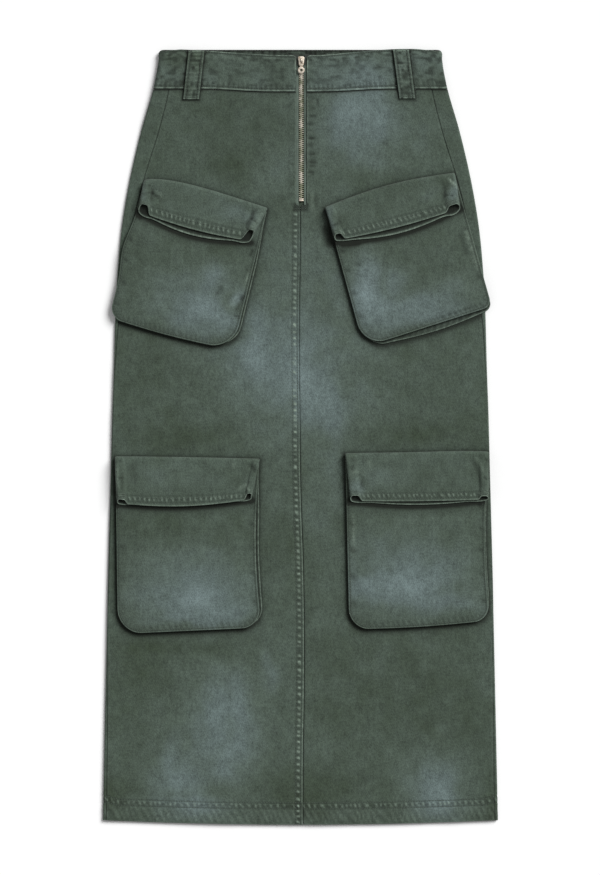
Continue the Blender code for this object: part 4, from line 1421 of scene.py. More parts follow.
# Zip ----------------------------------------------------------------------------------------------
@dataclass
class Zip(SewnPart):
    """A closed metal zip: two tapes, the chain's teeth, the bottom stop, the slider and its pull."""

    below: float = 1.35 * MM  # the chain's middle under the front's
    tape_below: float = 1.5 * MM
    tape: float = 0.8 * MM
    tape_width: float = 13 * MM
    tape_ends: tuple = (7 * MM, 204 * MM)
    chain_half: float = 3.0 * MM
    chain_thick: float = 2.2 * MM
    chain_ends: tuple = (15.9 * MM, 186.3 * MM)
    pitch: float = 2.5 * MM  # between two teeth of one side
    tooth_half: float = 0.56 * MM
    tooth: tuple = ((3.0, -0.8), (3.0, 0.8), (1.9, 1), (0.4, 0.72), (-0.55, 1), (-1.05, 0.55), (-1.05, -0.55),
                    (-0.55, -1), (0.4, -0.72), (1.9, -1))  # outline: X in millimetres, Y in half teeth
    tooth_depth: float = 0.95 * MM  # above the chain's middle, and below it
    slider_top: float = 9.5 * MM
    slider_size: tuple = (8.0 * MM, 10.4 * MM)
    slider_side: tuple = (  # shares of the half width, and of the length from the top
        (0.42, 0.0), (0.78, 0.04), (0.97, 0.13), (1.0, 0.26), (0.98, 0.42), (0.88, 0.58), (0.82, 0.75),
        (0.84, 0.93), (0.76, 1.0),
    )
    flange: tuple = ((0.97, 0.16), (0.98, 0.42), (0.88, 0.58), (0.82, 0.75), (0.84, 0.92), (0.70, 0.92),
                     (0.68, 0.75), (0.74, 0.58), (0.84, 0.42), (0.83, 0.16))
    bail_wire: float = 0.6 * MM
    bail_reach: float = 2.7 * MM
    plate: float = 0.9 * MM
    bar: float = 0.55 * MM
    pull_length: float = 16.5 * MM
    pull_thick: float = 1.0 * MM
    ring: float = 4.2 * MM
    hole: float = 1.8 * MM

    def make(self) -> list:
        """Build the whole zip and return its tapes."""
        tapes = [self.make_tape(side) for side in (-1, 1)]
        self.make_teeth()
        self.make_stop()
        self.make_slider()
        self.make_pull()
        return tapes

    def make_tape(self, side: int) -> bpy.types.Object:
        """Build the tape of one side.

        Args:
            side: -1 is the viewer's left, 1 the right.

        Returns:
            The piece.
        """
        t = self.tube
        inner = self.chain_half + t.seam
        across = np.sort(t.zip_x + side * (inner + steps(EDGE, self.tape_width, 1.5 * MM, EDGE)))[None, :]
        length = self.tape_ends[1] - self.tape_ends[0]
        drop = (self.tape_ends[0] + steps(EDGE, length, 2 * MM, EDGE))[:, None]
        x, drop = np.broadcast_arrays(across, drop)
        away = np.abs(x - t.zip_x) - inner
        height = 0.15 * MM * ridge(away, 1.2, 0.8) + 0.06 * MM * uneven(6, 81, x, drop)
        # Painted shade: dark at the top by the slider, and patchily darker on the right tape, which the right
        # panel shades.
        right_tape_shade = 0.2 * smooth(uneven(19, 82, drop, 0 * x), -0.2, 0.6) * (side > 0)
        shade = 0.85 * ramp(drop, 23, 19) + right_tape_shade
        points = np.stack([x, t.y(drop), t.front_z(x, drop) - self.tape_below], -1)
        node = "zip_tape_left" if side < 0 else "zip_tape_right"
        relief = Relief(height, 0.0, np.minimum(shade, 0.95))
        return self.sheet(node, Cloth(points, relief, np.zeros(x.shape), self.tape), [], finish=Finish.TAPE)

    def level(self, drop: float, below: float) -> float:
        """Return the height of what lies this far below the front's middle surface at the zip."""
        return float(self.tube.front_z(self.tube.zip_x, drop)) - below

    def metal(self, name: str, shape: bmesh.types.BMesh, finish: Finish, body: str,
              nodes: tuple) -> None:
        """Finish a metal part.

        Args:
            name: The piece's name.
            shape: Its shape, which is freed.
            finish: Its finish.
            body: The body that it rides on.
            nodes: The construction nodes that it stands for.
        """
        bmesh.ops.recalc_face_normals(shape, faces=shape.faces)
        mesh = bpy.data.meshes.new(name)
        shape.to_mesh(mesh)
        shape.free()
        mesh.shade_smooth()
        mesh.set_sharp_from_angle(angle=METAL_SHARP)
        log.info("%s: %d faces", name, len(mesh.polygons))
        finish_piece(name, mesh, self.wardrobe[finish], body, nodes)

    def slab(self, shape: bmesh.types.BMesh, outline: list, low: float, high: float, bevel: float,
             segments: int = 2) -> None:
        """Add a flat plate with rounded edges.

        Args:
            shape: The shape that it is added to.
            outline: Its corners in plan, anticlockwise.
            low: Its underside.
            high: Its top.
            bevel: The edges' rounding.
            segments: Steps in the rounding.
        """
        plate = bmesh.new()
        face = plate.faces.new([plate.verts.new((x, y, low)) for x, y in outline])
        top = bmesh.ops.extrude_face_region(plate, geom=[face])["geom"]
        bmesh.ops.translate(plate, verts=[g for g in top if isinstance(g, bmesh.types.BMVert)],
                            vec=(0, 0, high - low))
        if bevel:
            rims = [e for e in plate.edges if abs(e.verts[0].co.z - e.verts[1].co.z) < 1e-6]
            bmesh.ops.bevel(plate, geom=rims, offset=bevel, segments=segments, affect="EDGES", profile=0.5)
        mesh = bpy.data.meshes.new("slab")
        plate.to_mesh(mesh)
        plate.free()
        shape.from_mesh(mesh)
        bpy.data.meshes.remove(mesh)

    def bar_outline(self, half: float, low: float, high: float) -> list:
        """Return the corners of a rectangle on the zip's line, this far to each side and from low to high."""
        left, right = self.tube.zip_x - half, self.tube.zip_x + half
        return [(left, low), (right, low), (right, high), (left, high)]

    def make_teeth(self) -> None:
        """Build the chain, teeth clamped on the tapes' cords and locked together."""
        t = self.tube
        shape = bmesh.new()
        drops = np.arange(self.chain_ends[0] + 0.7 * MM, self.chain_ends[1] - 0.6 * MM, self.pitch / 2)
        for i, drop in enumerate(drops):
            side = -1 if i % 2 else 1
            z = self.level(drop, self.below)
            outline = [(t.zip_x + side * px * MM, float(t.y(drop)) + side * py * self.tooth_half)
                       for px, py in self.tooth]
            self.slab(shape, outline, z - self.tooth_depth, z + self.tooth_depth, 0.2 * MM, 1)
        self.metal("zip_chain_teeth", shape, Finish.CHAIN, SKIRT_BODY, ("zip_chain",))

    def make_stop(self) -> None:
        """Build the bottom stop, a bent staple over the last teeth."""
        low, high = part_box("zip_bottom_stop")
        shape = bmesh.new()
        x0, y0, z0 = low
        x1, y1, z1 = high
        for offset in (0.0, (y1 - y0) * 0.54):
            y2 = y0 + offset
            y3 = y2 + (y1 - y0) * 0.46
            c = 0.5 * MM
            outline = [(x0 + c, y2), (x1 - c, y2), (x1, y2 + c), (x1, y3 - c), (x1 - c, y3), (x0 + c, y3),
                       (x0, y3 - c), (x0, y2 + c)]
            self.slab(shape, outline, z0, z1, 0.35 * MM, 2)
        bridge = self.bar_outline(2.0 * MM, y0 + 0.4 * MM, y1 - 0.4 * MM)
        self.slab(shape, bridge, z0 + 0.2 * MM, z1 - 0.3 * MM, 0.1 * MM, 1)
        self.metal("zip_stop_staple", shape, Finish.HARDWARE, SKIRT_BODY, ("zip_bottom_stop",))

    def levels(self) -> tuple[float, float, float, float, float]:
        """Return the heights of the slider's two plates, under and over, and of the pull's pivot."""
        seam = self.tube.seam
        chain = self.level(self.slider_top, self.below)
        floor, roof = chain - self.chain_thick / 2 - seam, chain + self.chain_thick / 2 + seam
        return floor - self.plate, floor, roof, roof + self.plate, roof + self.plate + seam + self.bar

    def pivot_y(self) -> float:
        """Return Y of the pull's pivot."""
        return float(self.tube.y(self.slider_top + self.slider_size[1] / 2))

    def make_slider(self) -> None:
        """Build the slider: a broad-shouldered body with flanges, and an arched bail."""
        t = self.tube
        bottom, floor, roof, top, pivot = self.levels()
        half, length = self.slider_size[0] / 2, self.slider_size[1]
        top_y = float(t.y(self.slider_top))
        right, left = ([(t.zip_x + side * half * a, top_y - length * b) for a, b in self.slider_side]
                       for side in (1, -1))
        outline = right[::-1] + left
        shape = bmesh.new()
        self.slab(shape, outline, roof, top, 0.32 * MM, 3)
        self.slab(shape, outline, bottom, floor, 0.25 * MM, 2)
        post = self.bar_outline(1.2 * MM, top_y - 3.6 * MM, top_y - 0.5 * MM)
        self.slab(shape, post, floor - 0.3 * MM, roof + 0.3 * MM, 0.0)
        for side in (-1, 1):
            flange = [(t.zip_x + side * half * a, top_y - length * b) for a, b in self.flange]
            low = self.level(self.slider_top, self.tape_below) + self.tape / 2 + t.seam
            self.slab(shape, flange if side < 0 else flange[::-1], low, roof + 0.2 * MM, 0.1 * MM, 1)
        self.add_bail(shape, top, pivot)
        self.metal("zip_slider_body", shape, Finish.HARDWARE, SKIRT_BODY, ("zip_slider",))

    def add_bail(self, shape: bmesh.types.BMesh, top: float, pivot: float) -> None:
        """Add the arch that holds the pull.

        Args:
            shape: The slider's shape.
            top: The upper plate's top.
            pivot: The pivot's height.
        """
        wire, sides, turns = self.bail_wire, 12, 22
        height = pivot + self.bar + self.tube.seam + wire - top
        rings = []
        for i in range(turns + 1):
            angle = math.pi * i / turns
            lift = math.sin(angle) ** 0.6 * (height + 0.3 * MM) - 0.3 * MM
            rings.append((-self.bail_reach * math.cos(angle), top + lift))
        path = np.array(rings)
        run = np.gradient(path, axis=0)
        run /= np.linalg.norm(run, axis=1, keepdims=True)
        loops = []
        for (dy, z), (ry, rz) in zip(path, run):
            loop = []
            for k in range(sides):
                a = 2 * math.pi * k / sides
                side, up = wire * 1.15 * math.cos(a), wire * math.sin(a)
                spot = (self.tube.zip_x + side, self.pivot_y() + dy - rz * up, z + ry * up)
                loop.append(shape.verts.new(spot))
            loops.append(loop)
        for first, second in zip(loops[:-1], loops[1:]):
            for k in range(sides):
                m = (k + 1) % sides
                shape.faces.new((first[k], first[m], second[m], second[k]))
        shape.faces.new(loops[0][::-1])
        shape.faces.new(loops[-1])

    def make_pull(self) -> None:
        """Build the pull, a slotted head, a neck and a ring with rounded edges."""
        head, neck, slot_end, neck_top = 2.9 * MM, 1.5 * MM, -4.7 * MM, -7.4 * MM
        ring_y = -(self.pull_length - self.ring)
        turns = np.radians(np.linspace(70, -250, 44))
        side = [(head * 0.8, 0.42 * MM), (head, 0.1 * MM), (head, slot_end - 0.3 * MM),
                (head * 0.93, -5.6 * MM), (neck, neck_top)]
        outline = side + [(self.ring * math.cos(a), ring_y + self.ring * math.sin(a)) for a in turns]
        outline += [(-x, y) for x, y in reversed(side)]
        slot_half = 1.35 * MM
        slot = [(-slot_half, -self.bar), (slot_half, -self.bar), (slot_half, slot_end + 0.5 * MM),
                (slot_half * 0.6, slot_end), (-slot_half * 0.6, slot_end), (-slot_half, slot_end + 0.5 * MM)]
        hole = [(self.hole * math.cos(a), ring_y + self.hole * math.sin(a)) for a in
                np.linspace(0, 2 * math.pi, 33)[:-1]]
        bevel = 0.16 * MM
        curve = bpy.data.curves.new("pull", "CURVE")
        curve.dimensions = "2D"
        curve.fill_mode = "BOTH"
        curve.extrude = self.pull_thick / 2 - bevel
        curve.bevel_depth = bevel
        curve.bevel_resolution = 2
        curve.offset = -bevel
        for points in (outline, slot, hole):
            spline = curve.splines.new("POLY")
            spline.points.add(len(points) - 1)
            spline.use_cyclic_u = True
            for point, (x, y) in zip(spline.points, points):
                point.co = (x, y, 0, 1)
        holder = put("pull", curve)
        bpy.context.view_layer.update()
        mesh = bpy.data.meshes.new_from_object(holder.evaluated_get(bpy.context.evaluated_depsgraph_get()))
        bpy.data.objects.remove(holder, do_unlink=True)
        shape = bmesh.new()
        shape.from_mesh(mesh)
        bmesh.ops.remove_doubles(shape, verts=shape.verts, dist=1e-6)
        place = (self.tube.zip_x, self.pivot_y(), self.levels()[-1])
        bmesh.ops.translate(shape, verts=shape.verts, vec=place)
        self.metal("zip_pull_ring", shape, Finish.HARDWARE, PULL_BODY, ("zip_pull_tab",))


# Pockets ------------------------------------------------------------------------------------------
@dataclass
class Pocket(SewnPart):
    """A bellows pocket: a flat front, a folded gusset round it and a sleeve-like mouth turned over.

    Places are X, Y in millimetres. The mouth ends in a raised loop at each side.
    """

    node: str
    fold: tuple
    base: tuple
    mouth: tuple
    fold_rise: float
    fold_peak: float
    base_sag: float
    side_bow: tuple
    corner: tuple
    hem_sag: float
    lip_sag: float
    lobe_back: tuple
    lobe_width: tuple
    foot: tuple
    front_patches: tuple
    sleeve_patches: tuple
    front_creases: tuple
    sleeve_creases: tuple
    seed: int
    foot_z: float = 5.5 * MM
    gusset_top_z: float = 7.3 * MM
    front_z: float = 8.8 * MM
    lower_z: float = 10.3 * MM
    upper_z: float = 12.4 * MM
    lobe_rise: float = 2.8 * MM
    roll: float = 3.45 * MM
    joint: float = 4.05 * MM
    front_start: float = 5.05 * MM
    crown: float = 1.7 * MM
    lip_ends: tuple = (1.5, 1.5)  # how far the lower lip drops at each end
    stations: tuple = (  # round the mouth's end: inset in lobe widths, layer, and the lobe's share
        (1.20, 0.0, 0.0), (0.22, 0.0, 0.0), (0.04, 0.3, 0.15), (0.0, 0.8, 0.5), (0.14, 1.0, 0.88),
        (0.45, 1.0, 1.0), (0.82, 1.0, 0.88), (1.06, 1.0, 0.14), (1.45, 1.0, 0.0),
    )

    def __post_init__(self) -> None:
        """Turn the left and right places of the fold, the base and the mouth into metres."""
        for key in ("fold", "base", "mouth"):
            setattr(self, key, np.array(getattr(self, key), float) * MM)

    def between(self, share: Array) -> tuple[Array, Array]:
        """Return the places on the fold and on the mouth's edge, at shares of the width."""
        return mix(*self.fold, share[..., None]), mix(*self.mouth, share[..., None])

    def down(self) -> Array:
        """Return the unit vector across the fold, towards the pocket's bottom."""
        left, right = self.fold
        along = (right - left) / np.linalg.norm(right - left)
        return np.array((along[1], -along[0]))

    def fold_bow(self, share: Array) -> Array:
        """Return how far the fold bows up, by the share of its width."""
        power = math.log(0.5) / math.log(self.fold_peak)
        return self.fold_rise * MM * np.sin(np.pi * np.clip(share, 0, 1) ** power)

    def height(self) -> float:
        """Return the length from the fold to the bottom."""
        return float(np.linalg.norm(self.base.sum(0) - self.fold.sum(0)) / 2)

    def clear_of(self, x: Array, y: Array) -> Array:
        """How free of this pocket the panel is.

        Args:
            x, y: Places in plan.

        Returns:
            0 under the pocket and beside it, and 1 well away from it.
        """
        (a, b), (c, d) = self.fold, self.base
        ring = [a, c, d, b]
        away = np.full(np.shape(x), -1.0)
        for p, q in zip(ring, ring[1:] + ring[:1]):
            run = (q - p) / np.linalg.norm(q - p)
            away = np.maximum(away, (x - p[0]) * run[1] - (y - p[1]) * run[0])
        return ramp(away, 5, 30)

    def contact_shadow(self, x: Array, y: Array) -> Array:
        """The painted shadow that the pocket throws on the panel close beside it, most to the lower left.

        Args:
            x, y: Places in plan.

        Returns:
            The shade.
        """
        share = np.linspace(0, 1, 24)
        top = mix(*self.fold, share[:, None]) - self.down() * self.fold_bow(share)[:, None]
        edge, out, foot, _ = self.foot_line(24)
        rim = edge + out * np.maximum(foot, 0.0)[:, None]
        near, _ = distance_to_path(x + 0.5 * MM, y + 1.6 * MM, np.concatenate([top[::-1], rim, top[-1:]]))
        (left, top_y), (right, down) = self.fold[0], self.down()
        depth = (x - left) * right + (y - top_y) * down
        low, high = smooth(depth, self.height() - 25 * MM, self.height() - 4 * MM), ramp(depth, 60, 45)
        return 0.76 * hill(near, (2.1 + 2.1 * low + 0.9 * high) * MM) + 0.18 * ridge(near, 0, 9)

    def front_grid(self, depths: Array, places: Array | None = None) -> tuple[Array, Array]:
        """The front's grid in plan.

        Args:
            depths: Distances below the fold.
            places: Distances across from the left edge, in a front of the usual width.

        Returns:
            The points, and the share of the pocket's width at each.
        """
        height = self.height()
        depth = depths[:, None]
        v = depth / height
        insets = []
        for radius, bow in zip(self.corner, self.side_bow):
            curve = np.clip(radius * MM - (height - depth), 0.0, radius * MM)
            insets.append(radius * MM - np.sqrt((radius * MM) ** 2 - curve**2)
                          + bow * MM * np.sin(np.pi * v) ** (1 if bow > 0 else 8))
        left, right = (mix(self.fold[k], self.base[k], v) for k in (0, 1))
        width = np.linalg.norm(right - left, axis=1)[:, None]
        start, end = insets[0] / width, 1 - insets[1] / width
        u = mix(start, end, places[None, :] / places[-1])
        bow = self.base_sag * MM * np.sin(np.pi * u) * v - self.fold_bow(u) * (1 - v)
        plan = left[:, None] + (right - left)[:, None] * u[..., None] + self.down() * bow[..., None]
        return plan, u

    def outline(self, count: int = 60) -> Array:
        """The front's outline.

        Args:
            count: Places down each straight side.

        Returns:
            Its left side, bottom and right side as a row of places.
        """
        height = self.height()
        widest = max(self.corner) * MM
        round_it = height - widest * (1 - np.sin(np.linspace(0, np.pi / 2, 26)))
        depths = np.concatenate([np.linspace(self.front_start, height - widest, count)[:-1], round_it])
        plan, _ = self.front_grid(depths, np.linspace(0, 1, 70))
        return np.concatenate([plan[:-1, 0], plan[-1], plan[:-1, -1][::-1]])

    def make(self) -> list:
        """Build the pocket.

        Returns:
            Its front, gusset and turned-over mouth.
        """
        return [self.make_front(), self.make_gusset(), self.make_turnover()]

    def lip(self, share: Array, z: float) -> Array:
        """Return the depth of the mouth's edge below the fold: its upper edge, or its lower lip."""
        start, end = self.between(share)
        sag = self.lip_sag if z < self.upper_z else self.hem_sag
        return (end - start) @ self.down() + sag * MM * np.sin(np.pi * share)

    def lip_shadow(self, x: Array, y: Array) -> Array:
        """The painted shadow on the front close under the mouth's lower lip, as wide as the mouth.

        Args:
            x, y: Places in plan.

        Returns:
            The shade.
        """
        share = np.linspace(0, 1, 40)
        start, end = self.between(share)
        deep = np.maximum(self.lip(share, self.lower_z), self.lip(share, self.upper_z))
        path = start + (end - start) * (deep / ((end - start) @ self.down()))[:, None]
        near, _ = distance_to_path(x + 0.8 * MM, y + 1.0 * MM, path)
        return 0.9 * ramp(near, 7.8, 1.2) + 0.26 * ramp(near, 18, 3)

    def make_front(self) -> bpy.types.Object:
        """Build the front and return it."""
        height = self.height()
        depths = self.front_start + steps(EDGE[:2], height - self.front_start, 1.9 * MM,
                                          edge_then(13 * MM, 1.3 * MM))
        places = steps(edge_then(11 * MM, 1.4 * MM), 170 * MM, 1.9 * MM, edge_then(11 * MM, 1.4 * MM))
        plan, u = self.front_grid(depths, places)
        x, y = plan[..., 0], plan[..., 1]
        edge, along = distance_to_path(x, y, self.outline())
        run = along * 0.55
        depth = depths[:, None] + 0 * u
        below = ramp(depth - self.lip(u, self.lower_z), 3, 30)
        crown = self.crown * below * ramp(edge, 0, 34)
        bottom = smooth(along, 0.30, 0.36) * smooth(along, 0.70, 0.64)
        fine = Puckers(6.8 * MM, self.seed, slant=0.3).at(run, edge)
        sparse = Puckers(31 * MM, self.seed + 1, slant=-0.4, sharp=9).at(run, edge)
        band = ridge(edge, 6, 3.4)
        wave = 0.5 * uneven(42, self.seed + 2, x, y) + 0.25 * uneven(18, self.seed + 3, x, y)
        relief = Relief(crown + wave * MM * below * ramp(edge, 4, 16))
        # A rubbed edge line, and painted shade in the groove inside it and in the puckers and notches below.
        relief += Relief(-0.12 * MM * ridge(edge, 0, 1.2) - 0.22 * MM * ridge(edge, 2.5, 0.7),
                         mix(0.12, 0.3, bottom) * ridge(edge, 0.4, 0.5),
                         0.48 * ridge(edge, 2.2, 1.0))
        drawn = band * mix(0.2, 1.0, bottom)
        relief += Relief(0.4 * MM * (fine - 0.4), 0.05 * fine, 0.36 * (1 - fine) ** 2) * drawn
        relief += Relief(-0.6 * MM * sparse, 0.0, 0.5 * sparse) * (band * (1 - bottom))
        creases = creased(x, y, self.front_creases)
        creases.height = creases.height * below
        relief += creases
        relief += Relief(shade=self.lip_shadow(x, y))
        points = np.stack([x, y, np.full(x.shape, self.front_z)], -1)
        wash = washed(x, y, self.front_patches)
        return self.sheet(f"{self.node}_front", Cloth(points, relief, wash, self.tube.cloth),
                          [f"{self.node}_gusset"])

    def outward(self, edge: Array) -> Array:
        """Return the unit directions out of the front at the places of its outline."""
        along = np.gradient(edge, axis=0)
        along /= np.linalg.norm(along, axis=1, keepdims=True)
        return np.stack([along[:, 1], -along[:, 0]], -1)

    def foot_line(self, count: int) -> tuple[Array, Array, Array, Array]:
        """Where the gusset meets the panel.

        Args:
            count: Places down each side of the front.

        Returns:
            The front's outline, the direction out of it, how far out the gusset's foot is, and the length
            along it.
        """
        edge = self.outline(count)
        out = self.outward(edge)
        length = run_length(edge)
        side_left, side_right = count + 25, len(edge) - (count + 25)
        i = np.arange(len(edge))
        foot_left, foot_bottom, foot_right = (value * MM for value in self.foot)
        at_corner = 0.5 * foot_bottom
        low, high = length[side_left], length[-1] - length[side_right]
        from_top = np.minimum(length, length[-1] - length)
        beside = np.where(i < len(edge) / 2, foot_left, foot_right) * ramp(from_top, 0, 70)
        near = np.where(i < len(edge) / 2, low, high)
        on_side = mix(beside, at_corner, smooth(from_top, near - 45 * MM, near))
        span = np.clip((length - length[side_left]) / (length[side_right] - length[side_left]), 0, 1)
        on_bottom = mix(at_corner, foot_bottom, np.sin(np.pi * span))
        return edge, out, np.where((i >= side_left) & (i < side_right), on_bottom, on_side), length

    def make_gusset(self) -> bpy.types.Object:
        """Build the gusset, which runs down one side, along the bottom and up the other, and return it."""
        edge, out, foot, length = self.foot_line(52)
        inward = -11.0 * MM + np.minimum(foot, 0.0)[:, None]
        middle, radius = (self.gusset_top_z + self.foot_z) / 2, (self.gusset_top_z - self.foot_z) / 2
        lower = mix(foot[:, None], inward, np.array([0, 0.02, 0.06, 0.12, 0.22, 0.4, 0.7, 1.0])[None, :])
        turn = np.linspace(-np.pi / 2, np.pi / 2, 6)[None, 1:-1]
        upper = mix(inward, -1.0 * MM, np.array([0, 0.3, 0.6, 0.85, 1.0])[None, :])
        reach = np.concatenate([lower, inward - radius * np.cos(turn), upper], 1)
        z = np.concatenate([np.full(8, self.foot_z), middle + radius * np.sin(turn[0]),
                            np.full(5, self.gusset_top_z)])[None, :] + 0 * reach
        plan = edge[:, None] + out[:, None] * reach[..., None]
        ridges = Puckers(9 * MM, self.seed + 5, slant=0.6).at(length[:, None] + 0 * reach, reach)
        showing = ramp(reach, -1, 1)
        rim = hill(reach - foot[:, None] + 0.6 * MM, 0.7 * MM) * showing
        worn = 0.45 * rim + 0.1 * ridges * showing
        # Painted shade on the gusset, deepest where it turns in under the front; its foot edge is rubbed
        # light.
        close = ramp(reach, 4, 1.5)
        shade = (0.3 + 0.35 * close + 0.25 * (1 - ridges) * showing) * (1 - 0.8 * rim)
        relief = Relief(0.12 * MM * (ridges - 0.5) * showing, worn, shade)
        wash = washed(plan[..., 0], plan[..., 1], self.front_patches) * 0.6 + 0.05
        points = np.concatenate([plan, z[..., None]], -1)
        panel = "front_left" if self.fold[0][0] < 0 else "front_right"
        cloth = Cloth(points, relief, wash, self.tube.cloth)
        return self.sheet(f"{self.node}_gusset", cloth, [panel], "folded")

    def ring_stations(self) -> tuple[Array, Array, Array, Array]:
        """The sleeve's section as a dense ring.

        Returns:
            The share of the width, the layer, the lobe's share and how far the lobe lies back, by column.
        """
        width = float(np.linalg.norm(self.fold[1] - self.fold[0]))
        stations = np.array(self.stations)
        rows = []
        for end in (0, 1):
            inset, layer, lobe = stations.T
            share = inset * self.lobe_width[end] * MM / width
            back = np.full(len(share), self.lobe_back[end] * MM)
            rows.append(np.stack([share if end == 0 else 1 - share, layer, lobe, back], -1))
        left, right = rows[0], rows[1][::-1]
        curve = []
        for part in (left, right):
            share, layer, lobe = np.diff(part[:, :3], axis=0).T
            gap = np.hypot(share * width, layer * 2.1 * MM + lobe * 2.8 * MM)
            place = np.concatenate([[0.0], np.cumsum(np.maximum(gap, 0.4 * MM))])
            dense = np.linspace(0, place[-1], 34)
            curve.append(np.stack([fair_curve(dense, np.stack([place, row], -1)) for row in part.T], -1))
        left, right = curve
        for part in curve:
            part[:, 1:3] = np.clip(part[:, 1:3], 0, 1)
        count = int(width * 0.82 / (2.1 * MM))
        t = np.linspace(0, 1, count + 2)[1:-1, None]
        upper, lower = mix(left[-1], right[0], t), mix(right[-1], left[0], t)
        ring = np.concatenate([left, upper, right, lower])
        return tuple(ring.T)

    def make_turnover(self) -> bpy.types.Object:
        """Build the turned-over mouth and return it."""
        share, layer, lobe, back = (row[None, :] for row in self.ring_stations())
        down = self.down()
        start, end = self.between(share)
        reach = (end - start) @ down
        deep = float(reach.mean()) - self.joint
        flat = steps([0.0], deep, 2.2 * MM, edge_then(14 * MM, 1.15 * MM)) / deep
        rolls = np.linspace(-90, 90, 12)[:-1]
        along = np.concatenate([np.zeros(11), flat])[:, None]
        angle = np.radians(np.concatenate([rolls, np.full(len(flat), 90.0)]))[:, None]
        degrees = np.degrees(angle)
        lower_back = np.interp(degrees, (-90, -45, 0, 45, 90), (-0.7, 0.3, 1.0, 2.0, 3.0)) * MM
        lower_back = lower_back * smooth(along, 0.4, 0.0)
        rise = np.where(along > 0, np.interp(along, (0, 0.38, 0.72, 1.0), (0.35, 0.6, 0.85, 1.0)),
                        np.interp(degrees, (0, 45, 90), (0.0, 0.15, 0.35)))
        bow = np.sin(np.pi * np.clip(share, 0, 1))
        upper = mix(self.joint - self.roll * np.cos(angle), reach, along)
        lower = mix(self.joint + lower_back, reach, along)
        at_mouth = along**3
        upper = upper + (self.hem_sag * MM * bow - back * lobe) * at_mouth
        ends = self.lip_ends[0] * hill(share - 0.05, 0.06) + self.lip_ends[1] * hill(share - 0.95, 0.06)
        lower = lower + (self.lip_sag * bow + ends) * MM * at_mouth
        upper_z = (self.upper_z + self.foot_z) / 2 + self.roll * np.sin(angle)
        depth = mix(lower, upper, layer)
        z = mix(self.lower_z, upper_z, layer) + self.lobe_rise * lobe * rise
        v = depth / reach
        plan = start + (end - start) * v[..., None]
        plan = plan - down * (self.fold_bow(share) * (1 - np.minimum(v, 1.0)))[..., None]
        points = np.concatenate([plan, z[..., None]], -1)
        relief, wash = self.sleeve_relief(points, along, layer, lobe, deep)
        within = (1 - along) * deep
        # Painted shade inside the mouth, on the inner faces clear of the edge.
        inside = 0.5 * ramp(within, 0.8, 1.5) + 0.45 * ramp(within, 3.2, 5.0)
        cloth = Cloth(points, relief, wash, self.tube.cloth, ring=True, inside=inside)
        return self.sheet(f"{self.node}_turnover", cloth, [f"{self.node}_front"], "folded")

    def sleeve_relief(self, points: Array, along: Array, layer: Array, lobe: Array,
                      deep: float) -> tuple[Relief, Array]:
        """The turned-over mouth's seams and creases.

        Args:
            points: Its grid.
            along: 0 at the fold, 1 at the mouth's edge, by row.
            layer: 0 is the lower layer, 1 the upper, by column.
            lobe: The end loops' share, by column.
            deep: The flat part's length.

        Returns:
            The relief and the wash.
        """
        x, y = points[..., 0], points[..., 1]
        ring = np.broadcast_to(run_length(points[-1])[None, :], x.shape)
        from_edge = (1 - along) * deep + 0 * x
        top = np.broadcast_to(smooth(layer, 0.2, 0.8), x.shape)
        seam = TwinSeam(Puckers(6.1 * MM, self.seed + 7, slant=0.35), rise=0.42 * MM, groove=0.26 * MM,
                        ripple=0.14 * MM)
        relief = seam.on(ring, from_edge - 6.5 * MM) * (1 - 0.85 * lobe)
        relief.height = relief.height * mix(0.25, 1.0, top)
        relief.worn, relief.shade = 0.55 * relief.worn, 0.75 * relief.shade
        rim = ridge(from_edge, 0.4, 0.55)
        relief += Relief(0.15 * MM * rim * top, mix(0.75, 0.55, top) * (1 + 0.4 * lobe) * rim, 0.0)
        around = lobe * ramp(from_edge, 11, 8.5)
        lines = 0.5 - 0.5 * np.cos(2 * np.pi * (from_edge - 0.5 * MM) / (3.0 * MM))
        relief += Relief(-0.25 * MM * lines * around, 0.34 * (1 - lines) * around, 0.66 * lines**2 * around)
        upper = top * smooth(along + 0 * x, 0.0, 0.12)
        relief += creased(x, y, self.sleeve_creases) * upper
        wave = 0.4 * uneven(33, self.seed + 8, x, y) + 0.2 * uneven(13, self.seed + 9, x, y)
        relief += Relief(wave * MM * upper * ramp(from_edge, 10, 16))
        # Painted shade on the lower layer.
        relief += Relief(shade=0.25 * (1 - top) * (1 - rim))
        return relief, washed(x, y, self.sleeve_patches) + 0.02


